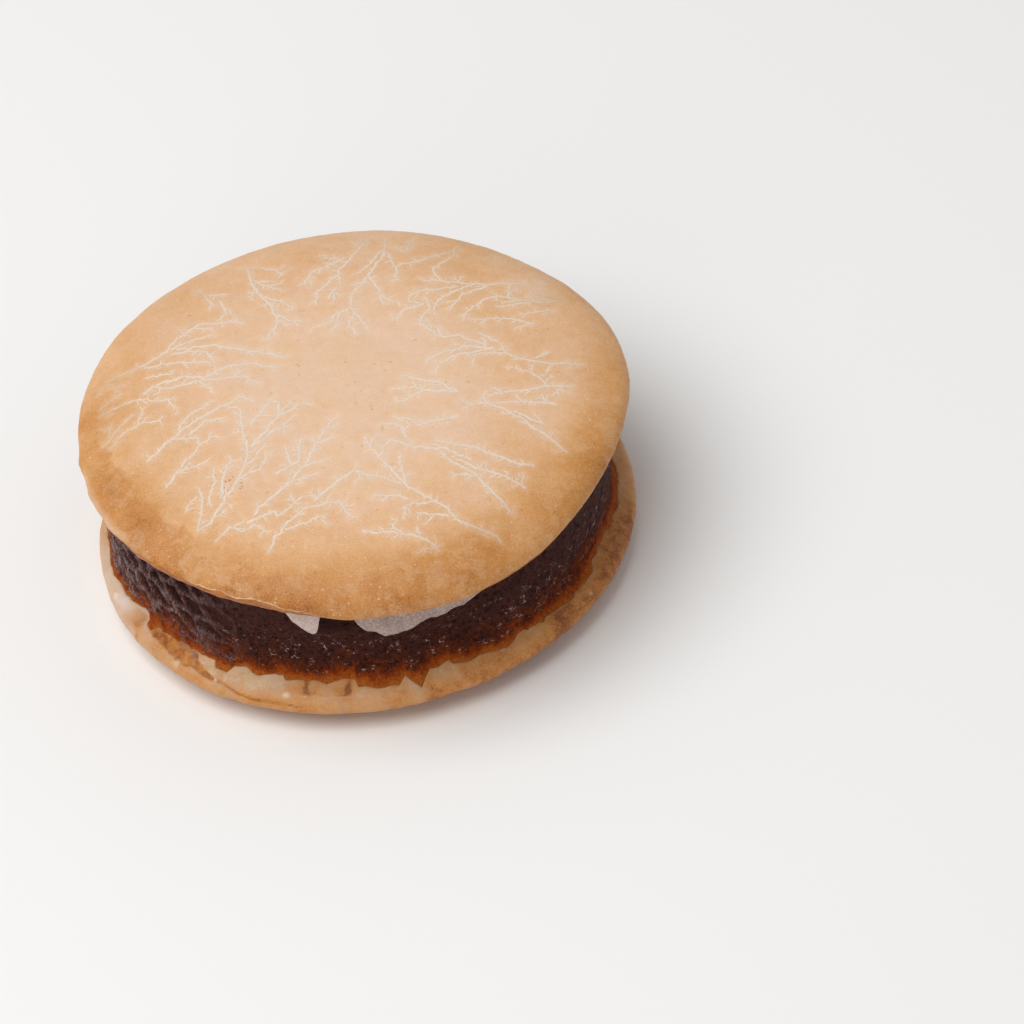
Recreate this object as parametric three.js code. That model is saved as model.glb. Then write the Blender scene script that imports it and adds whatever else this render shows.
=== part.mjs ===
import * as THREE from "three";

// An alfajor: two domed biscuits with a thick layer of fruit jam between them, glazed all over.
// Millimetres, +Z up. The origin is the middle of the flat underside that the alfajor rests on.
// Every solid is a stack of closed rings round a vertical axis, from its lowest middle point to
// its highest one. A ring's radius and height change with the angle, because nothing here is turned.

// Driving dimensions ----------------------------------------------------------------------------

const CONTACT_GAP = 0.3; // air between two solids that rest on each other

// A biscuit's outline is a circle with a few lobes, and its widest ring wavers up and down:
// [lobes, cosine part, sine part], as a share of the radius and in millimetres of height.
const TOP_BISCUIT = {
  shift: [0.24, 0.33], // from standing exactly over the bottom biscuit
  radius: 34.0,
  rimHeight: 20.46, // of its widest ring above the table
  crownHeight: 24.8,
  faceHeight: 16.5, // of its flat lower face, on the jam
  flatRadius: 20, // of that flat
  chinPower: 1.8, // roundness between the flat and the widest ring
  outlineLobes: [[2, 0.0002, -0.0038], [3, -0.0011, 0.0034], [4, 0.0024, 0.0059], [5, 0.0073, 0.0023]],
  rimWaver: [[1, -0.44, 0.15], [2, 0.69, 0.09], [3, 0.28, -0.19]],
  unevenness: 0.16, // of the crown
};

const BOTTOM_BISCUIT = {
  shift: [0, 0],
  radius: 33.57,
  rimHeight: 3.53,
  crownHeight: 7.0,
  faceHeight: 0,
  flatRadius: 20,
  chinPower: 1.83,
  outlineLobes: [[2, -0.0001, 0.0016], [3, 0.004, -0.001], [4, -0.0014, -0.0004]],
  rimWaver: [[1, 0.08, 0], [2, -0.06, -0.15]],
  unevenness: 0.05,
};

const CROWN_POWER = 3.6; // how squarely a crown turns down into its rim

const JAM = {
  footRadius: 30.8, // where its dark wall meets the shoulder of the bottom biscuit
  brimRadius: 30.6, // where the wall meets the top biscuit
  bulge: 0.25, // of the wall at half height
  crinkle: 0.22, // depth of the wall's folds
  frontHollow: 1.6, // the foot draws in at the front by this much
  frontAngle: 265,
  frontSpread: 38, // degrees to each side of the front angle
  skirtReach: 1.2, // of the thin skirt that runs out over the shoulder
  skirtJag: 0.35,
  skirtRoot: 0.9, // thickness where the skirt leaves the wall
  skirtMiddle: 0.5,
  skirtTip: 0.25,
};

// Tongues of set glaze that hang from the top biscuit in front of the jam, by angle in degrees.
const GLAZE_TONGUES = [
  { start: 252, tip: 256.5, end: 259.5, depth: 3.2 },
  { start: 266, tip: 274, end: 294, depth: 4.1 },
  { start: 14, tip: 24, end: 29, depth: 2.8 },
  { start: 98, tip: 104, end: 118, depth: 3.6 },
  { start: 163, tip: 168, end: 172, depth: 2.4 },
];
const TONGUE_INNER_RADIUS = 31.65;
const TONGUE_OUTER_RADIUS = 32.25;
const TONGUE_TAPER = 0.12; // how much each side of a tongue draws in towards its tip

// How finely the solids are cut
const TOP_STEPS = 144;
const JAM_STEPS = 108;
const BOTTOM_STEPS = 96;
const CROWN_RINGS = 10;
const CHIN_RINGS = 5;
const WALL_RINGS = 7;

// Forms -----------------------------------------------------------------------------------------

const toRadians = THREE.MathUtils.degToRad;

function sumOfWaves(waves, angle) {
  let sum = 0;
  for (const [lobes, cosine, sine] of waves) {
    sum += cosine * Math.cos(lobes * angle) + sine * Math.sin(lobes * angle);
  }
  return sum;
}

function rimRadius(biscuit, angle) {
  return biscuit.radius * (1 + sumOfWaves(biscuit.outlineLobes, angle));
}

function rimHeight(biscuit, angle) {
  return biscuit.rimHeight + sumOfWaves(biscuit.rimWaver, angle);
}

// Slow swells and dips over a baked surface, between about -1 and 1.
function swell(x, y) {
  const wide = Math.sin(0.11 * x + 0.05 * y + 0.6) * Math.cos(0.13 * y - 0.04 * x + 1.1);
  const narrow = Math.sin(0.26 * x - 0.17 * y + 2.0) * Math.cos(0.21 * x + 0.24 * y);
  return 0.65 * wide + 0.35 * narrow;
}

// Height of a crown, where lift runs from 0 at the widest ring to 1 at the middle.
function crownHeightAt(biscuit, angle, radius, lift) {
  const rim = rimHeight(biscuit, angle);
  const bumps = biscuit.unevenness * swell(radius * Math.cos(angle), radius * Math.sin(angle));
  return rim + lift * (biscuit.crownHeight - rim + bumps);
}

// A crown is a superellipse: share 0 is the widest ring and share 1 is the middle of the top.
function crownPoint(biscuit, angle, share) {
  const bend = (Math.PI / 2) * (1 - Math.pow(1 - share, 1.5));
  const spread = share < 1 ? Math.pow(Math.cos(bend), 2 / CROWN_POWER) : 0;
  const radius = rimRadius(biscuit, angle) * spread;
  return [radius, crownHeightAt(biscuit, angle, radius, Math.sin(bend))];
}

// The chin is the curve from the edge of the flat lower face out to the widest ring.
function chinHeightAt(biscuit, angle, radius) {
  const reach = rimRadius(biscuit, angle) - biscuit.flatRadius;
  const share = THREE.MathUtils.clamp((radius - biscuit.flatRadius) / reach, 0, 1);
  const fall = Math.pow(1 - Math.pow(share, biscuit.chinPower), 1 / biscuit.chinPower);
  const rim = rimHeight(biscuit, angle);
  return rim - (rim - biscuit.faceHeight) * fall;
}

// The same two surfaces over a point of the table, at an angle and radius from the origin.
function fromBiscuitCentre(biscuit, angle, radius) {
  const x = radius * Math.cos(angle) - biscuit.shift[0];
  const y = radius * Math.sin(angle) - biscuit.shift[1];
  return [Math.atan2(y, x), Math.hypot(x, y)];
}

function upperSurface(biscuit, angle, radius) {
  const [ownAngle, ownRadius] = fromBiscuitCentre(biscuit, angle, radius);
  const spread = Math.min(1, ownRadius / rimRadius(biscuit, ownAngle));
  const lift = Math.sqrt(1 - Math.pow(spread, CROWN_POWER));
  return crownHeightAt(biscuit, ownAngle, ownRadius, lift);
}

function lowerSurface(biscuit, angle, radius) {
  const [ownAngle, ownRadius] = fromBiscuitCentre(biscuit, angle, radius);
  return chinHeightAt(biscuit, ownAngle, ownRadius);
}

// Height by which the glaze hangs below the lower face: a lopsided hump over each tongue's span.
function tongueDepth(angle) {
  const degrees = THREE.MathUtils.euclideanModulo(THREE.MathUtils.radToDeg(angle), 360);
  let depth = 0;
  for (const tongue of GLAZE_TONGUES) {
    const side = degrees < tongue.tip ? tongue.start : tongue.end;
    const share = (degrees - side) / (tongue.tip - side);
    if (share > 0) {
      depth = Math.max(depth, tongue.depth * Math.sin((Math.PI / 2) * Math.min(share, 1)));
    }
  }
  return depth;
}

// How far the jam's foot draws in at the front, from 0 to 1.
function frontHollowShare(angle) {
  const turn = angle - toRadians(JAM.frontAngle);
  const offset = Math.abs(Math.atan2(Math.sin(turn), Math.cos(turn)));
  const edge = toRadians(JAM.frontSpread);
  return 1 - THREE.MathUtils.smoothstep(offset, 0.55 * edge, edge);
}

function jamLumps(angle, share) {
  const slow = Math.sin(5 * angle + 1.3 + 2 * share);
  const quick = Math.sin(13 * angle + 0.4 - 3 * share) * Math.cos(4 * angle + 2.2);
  const folds = Math.sin(29 * angle + 5 * share) * Math.cos(11 * angle - 7 * share + 0.9);
  return 0.16 * slow + 0.14 * quick + JAM.crinkle * folds * Math.sin(Math.PI * share);
}

// The dark wall of the jam: share 0 is its foot and share 1 its brim.
function jamWallRadius(angle, share) {
  const foot = JAM.footRadius - JAM.frontHollow * frontHollowShare(angle);
  const straight = foot + (JAM.brimRadius - foot) * share;
  return straight + JAM.bulge * Math.sin(Math.PI * share) + jamLumps(angle, share);
}

function jamSkirtRadius(angle) {
  const jag = Math.sin(17 * angle + 0.8) + 0.6 * Math.sin(31 * angle + 2.1);
  return jamWallRadius(angle, 0) + JAM.skirtReach + JAM.skirtJag * 0.6 * jag;
}

// Profiles: [radius, height] from the lowest middle point to the highest --------------------------

function crownProfile(biscuit, angle) {
  const points = [];
  for (let ring = 0; ring <= CROWN_RINGS; ring += 1) {
    points.push(crownPoint(biscuit, angle, ring / CROWN_RINGS));
  }
  return points;
}

function lowerFaceProfile(biscuit, angle, radii) {
  return radii.map((radius) => [radius, chinHeightAt(biscuit, angle, radius)]);
}

// Radii from one up to just short of another, closer together towards the second.
function closingRadii(from, to, count) {
  const radii = [];
  for (let index = 0; index < count; index += 1) {
    radii.push(THREE.MathUtils.lerp(to, from, Math.pow(1 - index / count, 1.6)));
  }
  return radii;
}

function bottomBiscuitProfile(angle) {
  const rim = rimRadius(BOTTOM_BISCUIT, angle);
  const radii = [0, 10, ...closingRadii(BOTTOM_BISCUIT.flatRadius, rim, CHIN_RINGS)];
  return [...lowerFaceProfile(BOTTOM_BISCUIT, angle, radii), ...crownProfile(BOTTOM_BISCUIT, angle)];
}

function tongueProfile(angle) {
  const depth = tongueDepth(angle);
  const sides = [TONGUE_INNER_RADIUS, TONGUE_OUTER_RADIUS];
  const radii = [sides[0], sides[0] + TONGUE_TAPER, sides[1] - TONGUE_TAPER, sides[1]];
  const root = lowerFaceProfile(TOP_BISCUIT, angle, radii);
  root[1][1] -= depth;
  root[2][1] -= depth;
  return root;
}

function topBiscuitProfile(angle) {
  const rim = rimRadius(TOP_BISCUIT, angle);
  const inside = [0, 10, ...closingRadii(TOP_BISCUIT.flatRadius, TONGUE_INNER_RADIUS, 3)];
  const outside = closingRadii(TONGUE_OUTER_RADIUS, rim, 4).slice(1);
  return [
    ...lowerFaceProfile(TOP_BISCUIT, angle, inside),
    ...tongueProfile(angle),
    ...lowerFaceProfile(TOP_BISCUIT, angle, outside),
    ...crownProfile(TOP_BISCUIT, angle),
  ];
}

function jamBedHeight(angle, radius) {
  return upperSurface(BOTTOM_BISCUIT, angle, radius) + CONTACT_GAP;
}

function jamRoofHeight(angle, radius) {
  return lowerSurface(TOP_BISCUIT, angle, radius) - CONTACT_GAP;
}

// Out along the bed, round the tip of the skirt and back up towards the foot of the wall.
function jamBedProfile(angle) {
  const tip = jamSkirtRadius(angle);
  const middle = (jamWallRadius(angle, 0) + tip) / 2;
  const bed = [0, 10, 20, 26, middle, tip].map((radius) => [radius, jamBedHeight(angle, radius)]);
  const overTip = [tip - 0.1, jamBedHeight(angle, tip) + JAM.skirtTip];
  const overMiddle = [middle, jamBedHeight(angle, middle) + JAM.skirtMiddle];
  return [...bed, overTip, overMiddle];
}

function jamWallProfile(angle) {
  const floor = jamBedHeight(angle, jamWallRadius(angle, 0)) + JAM.skirtRoot;
  const roof = jamRoofHeight(angle, jamWallRadius(angle, 1));
  const points = [];
  for (let ring = 0; ring <= WALL_RINGS; ring += 1) {
    const share = ring / WALL_RINGS;
    points.push([jamWallRadius(angle, share), THREE.MathUtils.lerp(floor, roof, share)]);
  }
  return points;
}

function jamProfile(angle) {
  const roof = [28.5, 25, 20, 10, 0].map((radius) => [radius, jamRoofHeight(angle, radius)]);
  return [...jamBedProfile(angle), ...jamWallProfile(angle), ...roof];
}

// Meshes ----------------------------------------------------------------------------------------

// A closed body from a profile that changes with the angle. Its first and last points are on the axis.
function bodyOfRings(profileAt, steps) {
  const profiles = [];
  for (let step = 0; step < steps; step += 1) {
    profiles.push(profileAt((step / steps) * 2 * Math.PI));
  }
  const rings = profiles[0].length - 2;
  const vertices = [0, 0, profiles[0][0][1]];
  for (let ring = 1; ring <= rings; ring += 1) {
    for (let step = 0; step < steps; step += 1) {
      const angle = (step / steps) * 2 * Math.PI;
      const [radius, height] = profiles[step][ring];
      vertices.push(radius * Math.cos(angle), radius * Math.sin(angle), height);
    }
  }
  vertices.push(0, 0, profiles[0][rings + 1][1]);
  const geometry = new THREE.BufferGeometry();
  geometry.setAttribute("position", new THREE.Float32BufferAttribute(vertices, 3));
  geometry.setIndex(ringTriangles(rings, steps));
  geometry.computeVertexNormals();
  return geometry;
}

function ringTriangles(rings, steps) {
  const lowest = 0;
  const highest = rings * steps + 1;
  const corner = (ring, step) => 1 + (ring - 1) * steps + (step % steps);
  const triangles = [];
  for (let step = 0; step < steps; step += 1) {
    triangles.push(lowest, corner(1, step + 1), corner(1, step));
    for (let ring = 1; ring < rings; ring += 1) {
      triangles.push(corner(ring, step), corner(ring, step + 1), corner(ring + 1, step));
      triangles.push(corner(ring, step + 1), corner(ring + 1, step + 1), corner(ring + 1, step));
    }
    triangles.push(corner(rings, step), corner(rings, step + 1), highest);
  }
  return triangles;
}

function layer(name, geometry, color, roughness) {
  const material = new THREE.MeshStandardMaterial({ color, roughness, metalness: 0 });
  const mesh = new THREE.Mesh(geometry, material);
  mesh.name = name;
  return mesh;
}

function buildAlfajor() {
  const alfajor = new THREE.Group();
  const bottom = layer("bottom_biscuit", bodyOfRings(bottomBiscuitProfile, BOTTOM_STEPS), 0xc99b68, 0.6);
  const jam = layer("jam_filling", bodyOfRings(jamProfile, JAM_STEPS), 0x2e1412, 0.35);
  const top = layer("top_biscuit", bodyOfRings(topBiscuitProfile, TOP_STEPS), 0xe0b184, 0.5);
  top.position.set(...TOP_BISCUIT.shift, 0);
  alfajor.add(bottom, jam, top);
  return alfajor;
}

const group = buildAlfajor();

export default group;
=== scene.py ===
import math
from dataclasses import dataclass
from itertools import product

import bpy
import numpy as np
from mathutils import Matrix, Vector
from mathutils.bvhtree import BVHTree
from mathutils.kdtree import KDTree


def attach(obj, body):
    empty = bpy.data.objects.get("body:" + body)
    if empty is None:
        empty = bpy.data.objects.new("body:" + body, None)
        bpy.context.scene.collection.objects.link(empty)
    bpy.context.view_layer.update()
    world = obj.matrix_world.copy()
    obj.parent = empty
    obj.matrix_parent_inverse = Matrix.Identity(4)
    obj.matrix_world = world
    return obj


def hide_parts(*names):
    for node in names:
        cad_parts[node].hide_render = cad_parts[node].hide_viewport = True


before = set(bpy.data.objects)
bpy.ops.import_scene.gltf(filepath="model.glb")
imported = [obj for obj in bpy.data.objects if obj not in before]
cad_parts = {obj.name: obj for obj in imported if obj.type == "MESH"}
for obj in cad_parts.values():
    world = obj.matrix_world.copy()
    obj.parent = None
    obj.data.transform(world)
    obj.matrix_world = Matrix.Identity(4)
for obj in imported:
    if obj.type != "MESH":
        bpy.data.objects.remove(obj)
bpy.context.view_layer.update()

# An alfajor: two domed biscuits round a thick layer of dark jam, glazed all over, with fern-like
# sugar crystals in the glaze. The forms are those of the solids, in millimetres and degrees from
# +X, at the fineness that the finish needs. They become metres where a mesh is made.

MM = 0.001
BODY = "root"
CONTACT_GAP = 0.3
CROWN_POWER = 3.6


# Forms ---------------------------------------------------------------------------------------


def waves(parts, angle):
    """Sum of [lobes, cosine part, sine part] waves round the alfajor."""
    return sum(c * np.cos(k * angle) + s * np.sin(k * angle) for k, c, s in parts)


def swell(x, y):
    """Slow swells and dips over a baked surface, between about -1 and 1."""
    wide = np.sin(0.11 * x + 0.05 * y + 0.6) * np.cos(0.13 * y - 0.04 * x + 1.1)
    narrow = np.sin(0.26 * x - 0.17 * y + 2.0) * np.cos(0.21 * x + 0.24 * y)
    return 0.65 * wide + 0.35 * narrow


def smoothstep(value, low, high):
    share = np.clip((value - low) / (high - low), 0, 1)
    return share * share * (3 - 2 * share)


def between(value, start, full, fade, end):
    """1 from full to fade, and falling smoothly to 0 at start and at end."""
    return smoothstep(value, start, full) * (1 - smoothstep(value, fade, end))


def hump(value, middle, half):
    return np.exp(-(((value - middle) / half) ** 2))


def read_off(table, degrees):
    """A number for each angle, from a table of angles and numbers."""
    return np.interp(degrees, *np.array(table).T)


def path_along(across, up):
    """Distances along a line of points, from its first."""
    return np.concatenate([[0], np.cumsum(np.hypot(np.diff(across), np.diff(up)))])


def degrees_of(angle):
    return np.degrees(angle) % 360


def polar(points):
    """Angles round the axis and distances from it."""
    return np.arctan2(points[:, 1], points[:, 0]), np.hypot(points[:, 0], points[:, 1])


def at(radius, angle, height):
    return np.stack([radius * np.cos(angle), radius * np.sin(angle), height], axis=-1)


# A biscuit's side is followed from this share of its radius, at so many points over its rim and under
# it. Its slope is read this far to either side of a point.
SIDE_START, SIDE_POINTS, SLOPE_REACH = 0.75, 160, 0.15


@dataclass
class Biscuit:
    """A domed biscuit about its own centre: a crown over the widest ring and a chin below it."""

    shift: tuple
    radius: float
    rim_height: float
    crown_height: float
    face_height: float
    flat_radius: float
    chin_power: float
    outline_lobes: tuple
    rim_waver: tuple
    unevenness: float

    def outline(self, angle):
        return self.radius * (1 + waves(self.outline_lobes, angle))

    def rim(self, angle):
        return self.rim_height + waves(self.rim_waver, angle)

    def crown(self, angle, radius):
        spread = np.clip(radius / self.outline(angle), 0, 1)
        lift = np.sqrt(1 - spread**CROWN_POWER)
        bumps = self.unevenness * swell(radius * np.cos(angle), radius * np.sin(angle))
        return self.rim(angle) + lift * (self.crown_height - self.rim(angle) + bumps)

    def chin(self, angle, radius):
        share = np.clip((radius - self.flat_radius) / (self.outline(angle) - self.flat_radius), 0, 1)
        fall = (1 - share**self.chin_power) ** (1 / self.chin_power)
        return self.rim(angle) - (self.rim(angle) - self.face_height) * fall

    def own(self, angle, radius):
        """Angle and radius from the biscuit's own centre, of points given from the origin."""
        x = radius * np.cos(angle) - self.shift[0]
        y = radius * np.sin(angle) - self.shift[1]
        return np.arctan2(y, x), np.hypot(x, y)

    def chin_over(self, angle, radius):
        """Height of the chin over points given from the origin."""
        return self.chin(*self.own(angle, radius))

    def side(self, angle):
        """Radii and heights down the side, from within the crown to the flat lower face."""
        bend = np.linspace(math.acos(SIDE_START ** (CROWN_POWER / 2)), 0, SIDE_POINTS)
        over = self.outline(angle) * np.cos(bend) ** (2 / CROWN_POWER)
        turn = np.linspace(math.pi / 2, 0, SIDE_POINTS)[1:]
        reach = self.outline(angle) - self.flat_radius
        under = self.flat_radius + reach * np.sin(turn) ** (2 / self.chin_power)
        heights = np.concatenate([self.crown(angle, over), self.chin(angle, under)])
        return np.concatenate([over, under]), heights

    def walk(self, angles, starts, distances, offsets=0.0):
        """Points on the side, a row for each distance down it from where the crown has the start radius.
        They stand off it by the offsets."""
        rows = np.zeros((len(distances), len(angles), 3))
        offsets = np.broadcast_to(offsets, rows.shape[:2])
        for step, (angle, start) in enumerate(zip(angles, starts)):
            radii, heights = self.side(angle)
            path = path_along(radii, heights)
            first = np.interp(start, radii[:SIDE_POINTS], path[:SIDE_POINTS])
            along = first + distances + np.array([[-SLOPE_REACH], [0], [SLOPE_REACH]])
            r, z = np.interp(along, path, radii), np.interp(along, path, heights)
            dr, dz = r[2] - r[0], z[2] - z[0]
            shift = offsets[:, step] / np.maximum(np.hypot(dr, dz), 1e-9)
            rows[:, step] = at(r[1] - dz * shift, angle, z[1] + dr * shift)
        return rows


TOP = Biscuit(
    shift=(0.24, 0.33),
    radius=34.0,
    rim_height=20.46,
    crown_height=24.8,
    face_height=16.5,
    flat_radius=20,
    chin_power=1.8,
    outline_lobes=((2, 0.0002, -0.0038), (3, -0.0011, 0.0034), (4, 0.0024, 0.0059), (5, 0.0073, 0.0023)),
    rim_waver=((1, -0.44, 0.15), (2, 0.69, 0.09), (3, 0.28, -0.19)),
    unevenness=0.16,
)
BOTTOM = Biscuit(
    shift=(0, 0),
    radius=33.57,
    rim_height=3.53,
    crown_height=7.0,
    face_height=0,
    flat_radius=20,
    chin_power=1.83,
    outline_lobes=((2, -0.0001, 0.0016), (3, 0.004, -0.001), (4, -0.0014, -0.0004)),
    rim_waver=((1, 0.08, 0), (2, -0.06, -0.15)),
    unevenness=0.05,
)

JAM_FOOT_RADIUS = 30.8
JAM_BRIM_RADIUS = 30.6
JAM_BULGE = 0.25
FRONT_HOLLOW, FRONT_ANGLE, FRONT_SPREAD = 1.6, 265, 38

# Tongues of set glaze under the top biscuit: how deep each hangs, by angle.
GLAZE_TONGUES = (
    ((251.6, 0), (252.4, 1.5), (254, 2.4), (256, 3.3), (257.2, 3.5), (258.1, 3.1), (258.6, 1.2), (258.9, 0)),
    ((265.4, 0), (267, 1.9), (268.3, 2.85), (269.3, 2.75), (270.8, 3.3), (272, 3.85), (275.4, 3.8),
     (277.8, 3.6), (281, 2.65), (286, 2.4), (288, 2.05), (290, 2.1), (293, 1.4), (297, 0.8), (304, 0)),
    ((14, 0), (18, 1.2), (22, 2.5), (24, 2.8), (27, 2.1), (29, 0)),
    ((98, 0), (101, 2.6), (104, 3.6), (109, 2.8), (118, 0)),
    ((163, 0), (166, 1.6), (168, 2.4), (170, 1.9), (172, 0)),
)
TONGUE_RADIUS = 31.95
TONGUE_THICKNESS = 0.42

# How far below its widest ring the glaze on the top biscuit ends, by angle.
LIP_DEPTH = (
    (0, 1.2), (195, 1.1), (206, 0.3), (214, -0.1), (224, -0.3), (240, -0.4), (250, -0.35), (256, -0.1),
    (261, 1.4), (283, 1.2), (290, 0.3), (300, 0), (318, 0.1), (332, 0.6), (345, 1.2), (360, 1.2),
)

# How much browner than the crown the rim of the top biscuit is, by angle.
BROWNED_RIM = (
    (0, 0.22), (50, -0.06), (140, -0.02), (160, 0.08), (176, 0.27), (190, 0.31), (205, 0.42), (225, 0.43),
    (240, 0.46), (262, 0.39), (285, 0.34), (330, 0.32), (360, 0.22),
)

# Where that brown starts with a ragged edge: an angle and a radius from the biscuit's own centre,
# and how crisp the edge is.
TIDE_LINE = (
    (178, 31.3, 0.0), (184, 31.0, 0.6), (191, 30.0, 0.8), (196, 29.3, 0.6), (203, 29.4, 0.1),
    (212, 29.1, 0.1), (218, 29.2, 0.6), (224, 29.2, 0.5), (230, 29.4, 0.0),
)

# Where the glaze film on the bottom biscuit ends, as an angle and a radius. A rule does the rest.
FILM_EDGE = (
    (172, 32.7), (179, 32.2), (191, 32.3), (195, 32.0), (200, 31.7), (205, 30.9), (208, 30.9),
    (209, 31.9), (211, 32.1), (212, 31.3), (216, 31.2), (216.7, 30.6), (218, 30.1), (220.5, 30.4),
    (225.5, 31.1), (226.2, 31.2), (228, 30.7), (229.6, 30.9), (231.2, 31.7), (234, 31.7), (235, 30.5),
    (237.5, 30.3), (241, 31.0), (243, 30.6), (247, 30.1), (248, 30.8), (251.5, 30.7), (254.5, 30.3),
    (257.5, 30.8), (260.5, 30.3), (263, 30.1), (264, 30.4), (264.6, 31.3), (268, 31.6), (273.5, 31.6),
    (275.2, 30.6), (276.4, 31.5), (278.2, 32.6), (279.2, 31.8), (281, 30.6), (285.8, 30.3),
    (286.3, 30.9), (288, 31.1), (296, 31.2), (299, 31.8), (303, 30.9), (309, 31.5), (313, 31.2),
    (318, 31.8), (323, 31.6), (327, 32.0),
)

# Plates of that film that have set pale: first and last angle, and how pale.
PALE_PLATES = (
    (188, 207, 0.7), (226, 232, 1.0), (234, 248, 1.0), (275, 278, 0.9), (281, 287, 0.9), (300, 310, 0.6),
)

# Between two angles the film is so thin that jam shows through, above a step at this height and most
# of all in two drips: angle and how brown.
THIN_START, THIN_END = 250.5, 264.5
THIN_STEP_HEIGHT = 4.86
FILM_DRIPS = ((252.9, 0.35), (262.4, 0.55))

# A split in that film, an amber pool that runs on as a crease: angle, height and half width.
FILM_SPLIT = (
    (208.5, 4.95, 0.0), (210.5, 4.9, 0.35), (213, 4.9, 0.75), (216, 4.92, 0.95), (220.5, 4.98, 1.35),
    (224, 4.9, 1.2), (225.3, 4.85, 1.0), (226.3, 4.66, 0.55), (228, 4.6, 0.45), (231, 4.45, 0.24),
    (234, 4.35, 0.12), (240, 3.96, 0.1), (244, 3.9, 0.12), (249, 3.98, 0.1), (254, 3.9, 0.0),
)

# Smoky plates of glaze that lie over that pool: angle, half width and how dark.
SMOKY_PLATES = ((219.3, 1.7, 0.85), (224.0, 1.5, 0.6))

# Where the left of that film is tanned: the angle and its half width.
TANNED_PATCH = (206.5, 3.0)

# Milky smears on that film: angle, height and size. More come by a draw.
FILM_SMEARS = ((196.5, 4.42, 0.6), (222, 4.0, 0.75), (249, 5.0, 0.6), (232.4, 4.4, 0.35))
SMEAR_DRAWS = 14

# How far the jam's skirt stays amber inwards from its tip, by angle.
AMBER_REACH = (
    (0, 1.2), (178, 0.6), (198, 0.9), (207, 1.9), (222, 1.7), (230, 1.2), (246, 1.3), (256, 1.5),
    (265, 2.2), (282, 2.1), (290, 1.4), (330, 1.4), (360, 1.2),
)


def lattice_noise(points, seed):
    """Smooth noise of 3-D points, about -1 to 1, with one bump to a unit."""
    directions = np.random.default_rng(seed).normal(size=(4096, 3))
    directions /= np.linalg.norm(directions, axis=1)[:, None]
    cell = np.floor(points).astype(np.int64)
    inside = points - cell
    fade = inside**3 * (inside * (inside * 6 - 15) + 10)
    total = np.zeros(len(points))
    for corner in product((0, 1), repeat=3):
        x, y, z = (cell + corner).T
        pick = (x * 73856093 ^ y * 19349663 ^ z * 83492791) % 4096
        dot = np.einsum("ij,ij->i", directions[pick], inside - corner)
        weight = np.prod(np.where(corner, fade, 1 - fade), axis=1)
        total += weight * dot
    return total * 1.6


def roughness_of(points, size, seed, octaves=3, gain=0.5):
    """Noise with finer and fainter octaves. Size is that of the widest bumps, in millimetres."""
    total = sum(gain**k * lattice_noise(points * 2**k / size, seed + k) for k in range(octaves))
    return total / sum(gain**k for k in range(octaves))


NOISE_RADIUS = 32.0


def round_noise(angle, size, seed, octaves=2):
    """Noise along a circle, which closes on itself."""
    points = at(NOISE_RADIUS, angle, np.full(len(angle), 7.3))
    return roughness_of(points, size, seed, octaves)


def broken_line(angle, size, seed):
    """Straight runs between random heights from -1 to 1, as along the edge of a broken shell."""
    random = np.random.default_rng(seed)
    corners = np.cumsum(random.uniform(0.35, 1.65, 800) * size / NOISE_RADIUS)
    corners = corners[corners < 2 * np.pi - 0.3 * size / NOISE_RADIUS]
    heights = random.uniform(-1, 1, len(corners))
    return np.interp(angle % (2 * np.pi), corners, heights, period=2 * np.pi)


def film_edge(angle):
    """Radius at which the glaze film on the bottom biscuit ends."""
    degrees = degrees_of(angle)
    ruled = 31.5 + 0.8 * round_noise(angle, 9.0, 11) + 0.5 * broken_line(angle, 2.6, 12)
    chipped = 0.17 * broken_line(angle, 0.9, 13) + 0.06 * round_noise(angle, 0.5, 14)
    traced_part = between(degrees, 166, 173, 325, 332)
    return ruled + (read_off(FILM_EDGE, degrees) - ruled) * traced_part + chipped


CELL_ROWS = 64


def cell_borders(across, up, columns, seed):
    """Distance inwards from the borders of uneven cells of unit size, which close after the columns."""
    seats = np.random.default_rng(seed).uniform(0.05, 0.95, (columns, CELL_ROWS, 2))
    column, row = np.floor(across).astype(int), np.floor(up).astype(int)
    nearest = np.full((2, len(across)), 9.0)
    for i, j in product((-1, 0, 1), repeat=2):
        seat = seats[(column + i) % columns, (row + j) % CELL_ROWS]
        distance = np.hypot(column + i + seat[:, 0] - across, row + j + seat[:, 1] - up)
        nearest = np.sort(np.vstack([nearest, distance]), axis=0)[:2]
    return nearest[1] - nearest[0]


def front_hollow(angle):
    turn = angle - math.radians(FRONT_ANGLE)
    offset = np.abs(np.arctan2(np.sin(turn), np.cos(turn)))
    return 1 - smoothstep(offset, 0.55 * math.radians(FRONT_SPREAD), math.radians(FRONT_SPREAD))


def jam_wall(angle, share):
    """Radius of the jam's dark wall, with share 0 at its foot and 1 at its brim."""
    foot = JAM_FOOT_RADIUS - FRONT_HOLLOW * front_hollow(angle)
    slow = 0.16 * np.sin(5 * angle + 1.3 + 2 * share)
    quick = 0.14 * np.sin(13 * angle + 0.4 - 3 * share) * np.cos(4 * angle + 2.2)
    return foot + (JAM_BRIM_RADIUS - foot) * share + JAM_BULGE * np.sin(np.pi * share) + slow + quick


def curtain_depth(angle):
    """How far the glaze hangs below the chin of the top biscuit: a thin lip, and tongues."""
    depth = 0.1 + 0.15 * round_noise(angle, 7.0, 15)
    blur = (-0.45, -0.15, 0.15, 0.45)
    nearby = [degrees_of(angle) + shift for shift in blur]
    hang = sum(read_off(tongue, degrees) for tongue in GLAZE_TONGUES for degrees in nearby) / len(blur)
    return np.maximum(depth + hang * (1 + 0.08 * round_noise(angle, 0.8, 17)), 0)


# Meshes --------------------------------------------------------------------------------------


def ring_angles(steps):
    return np.arange(steps) / steps * 2 * np.pi


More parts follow.
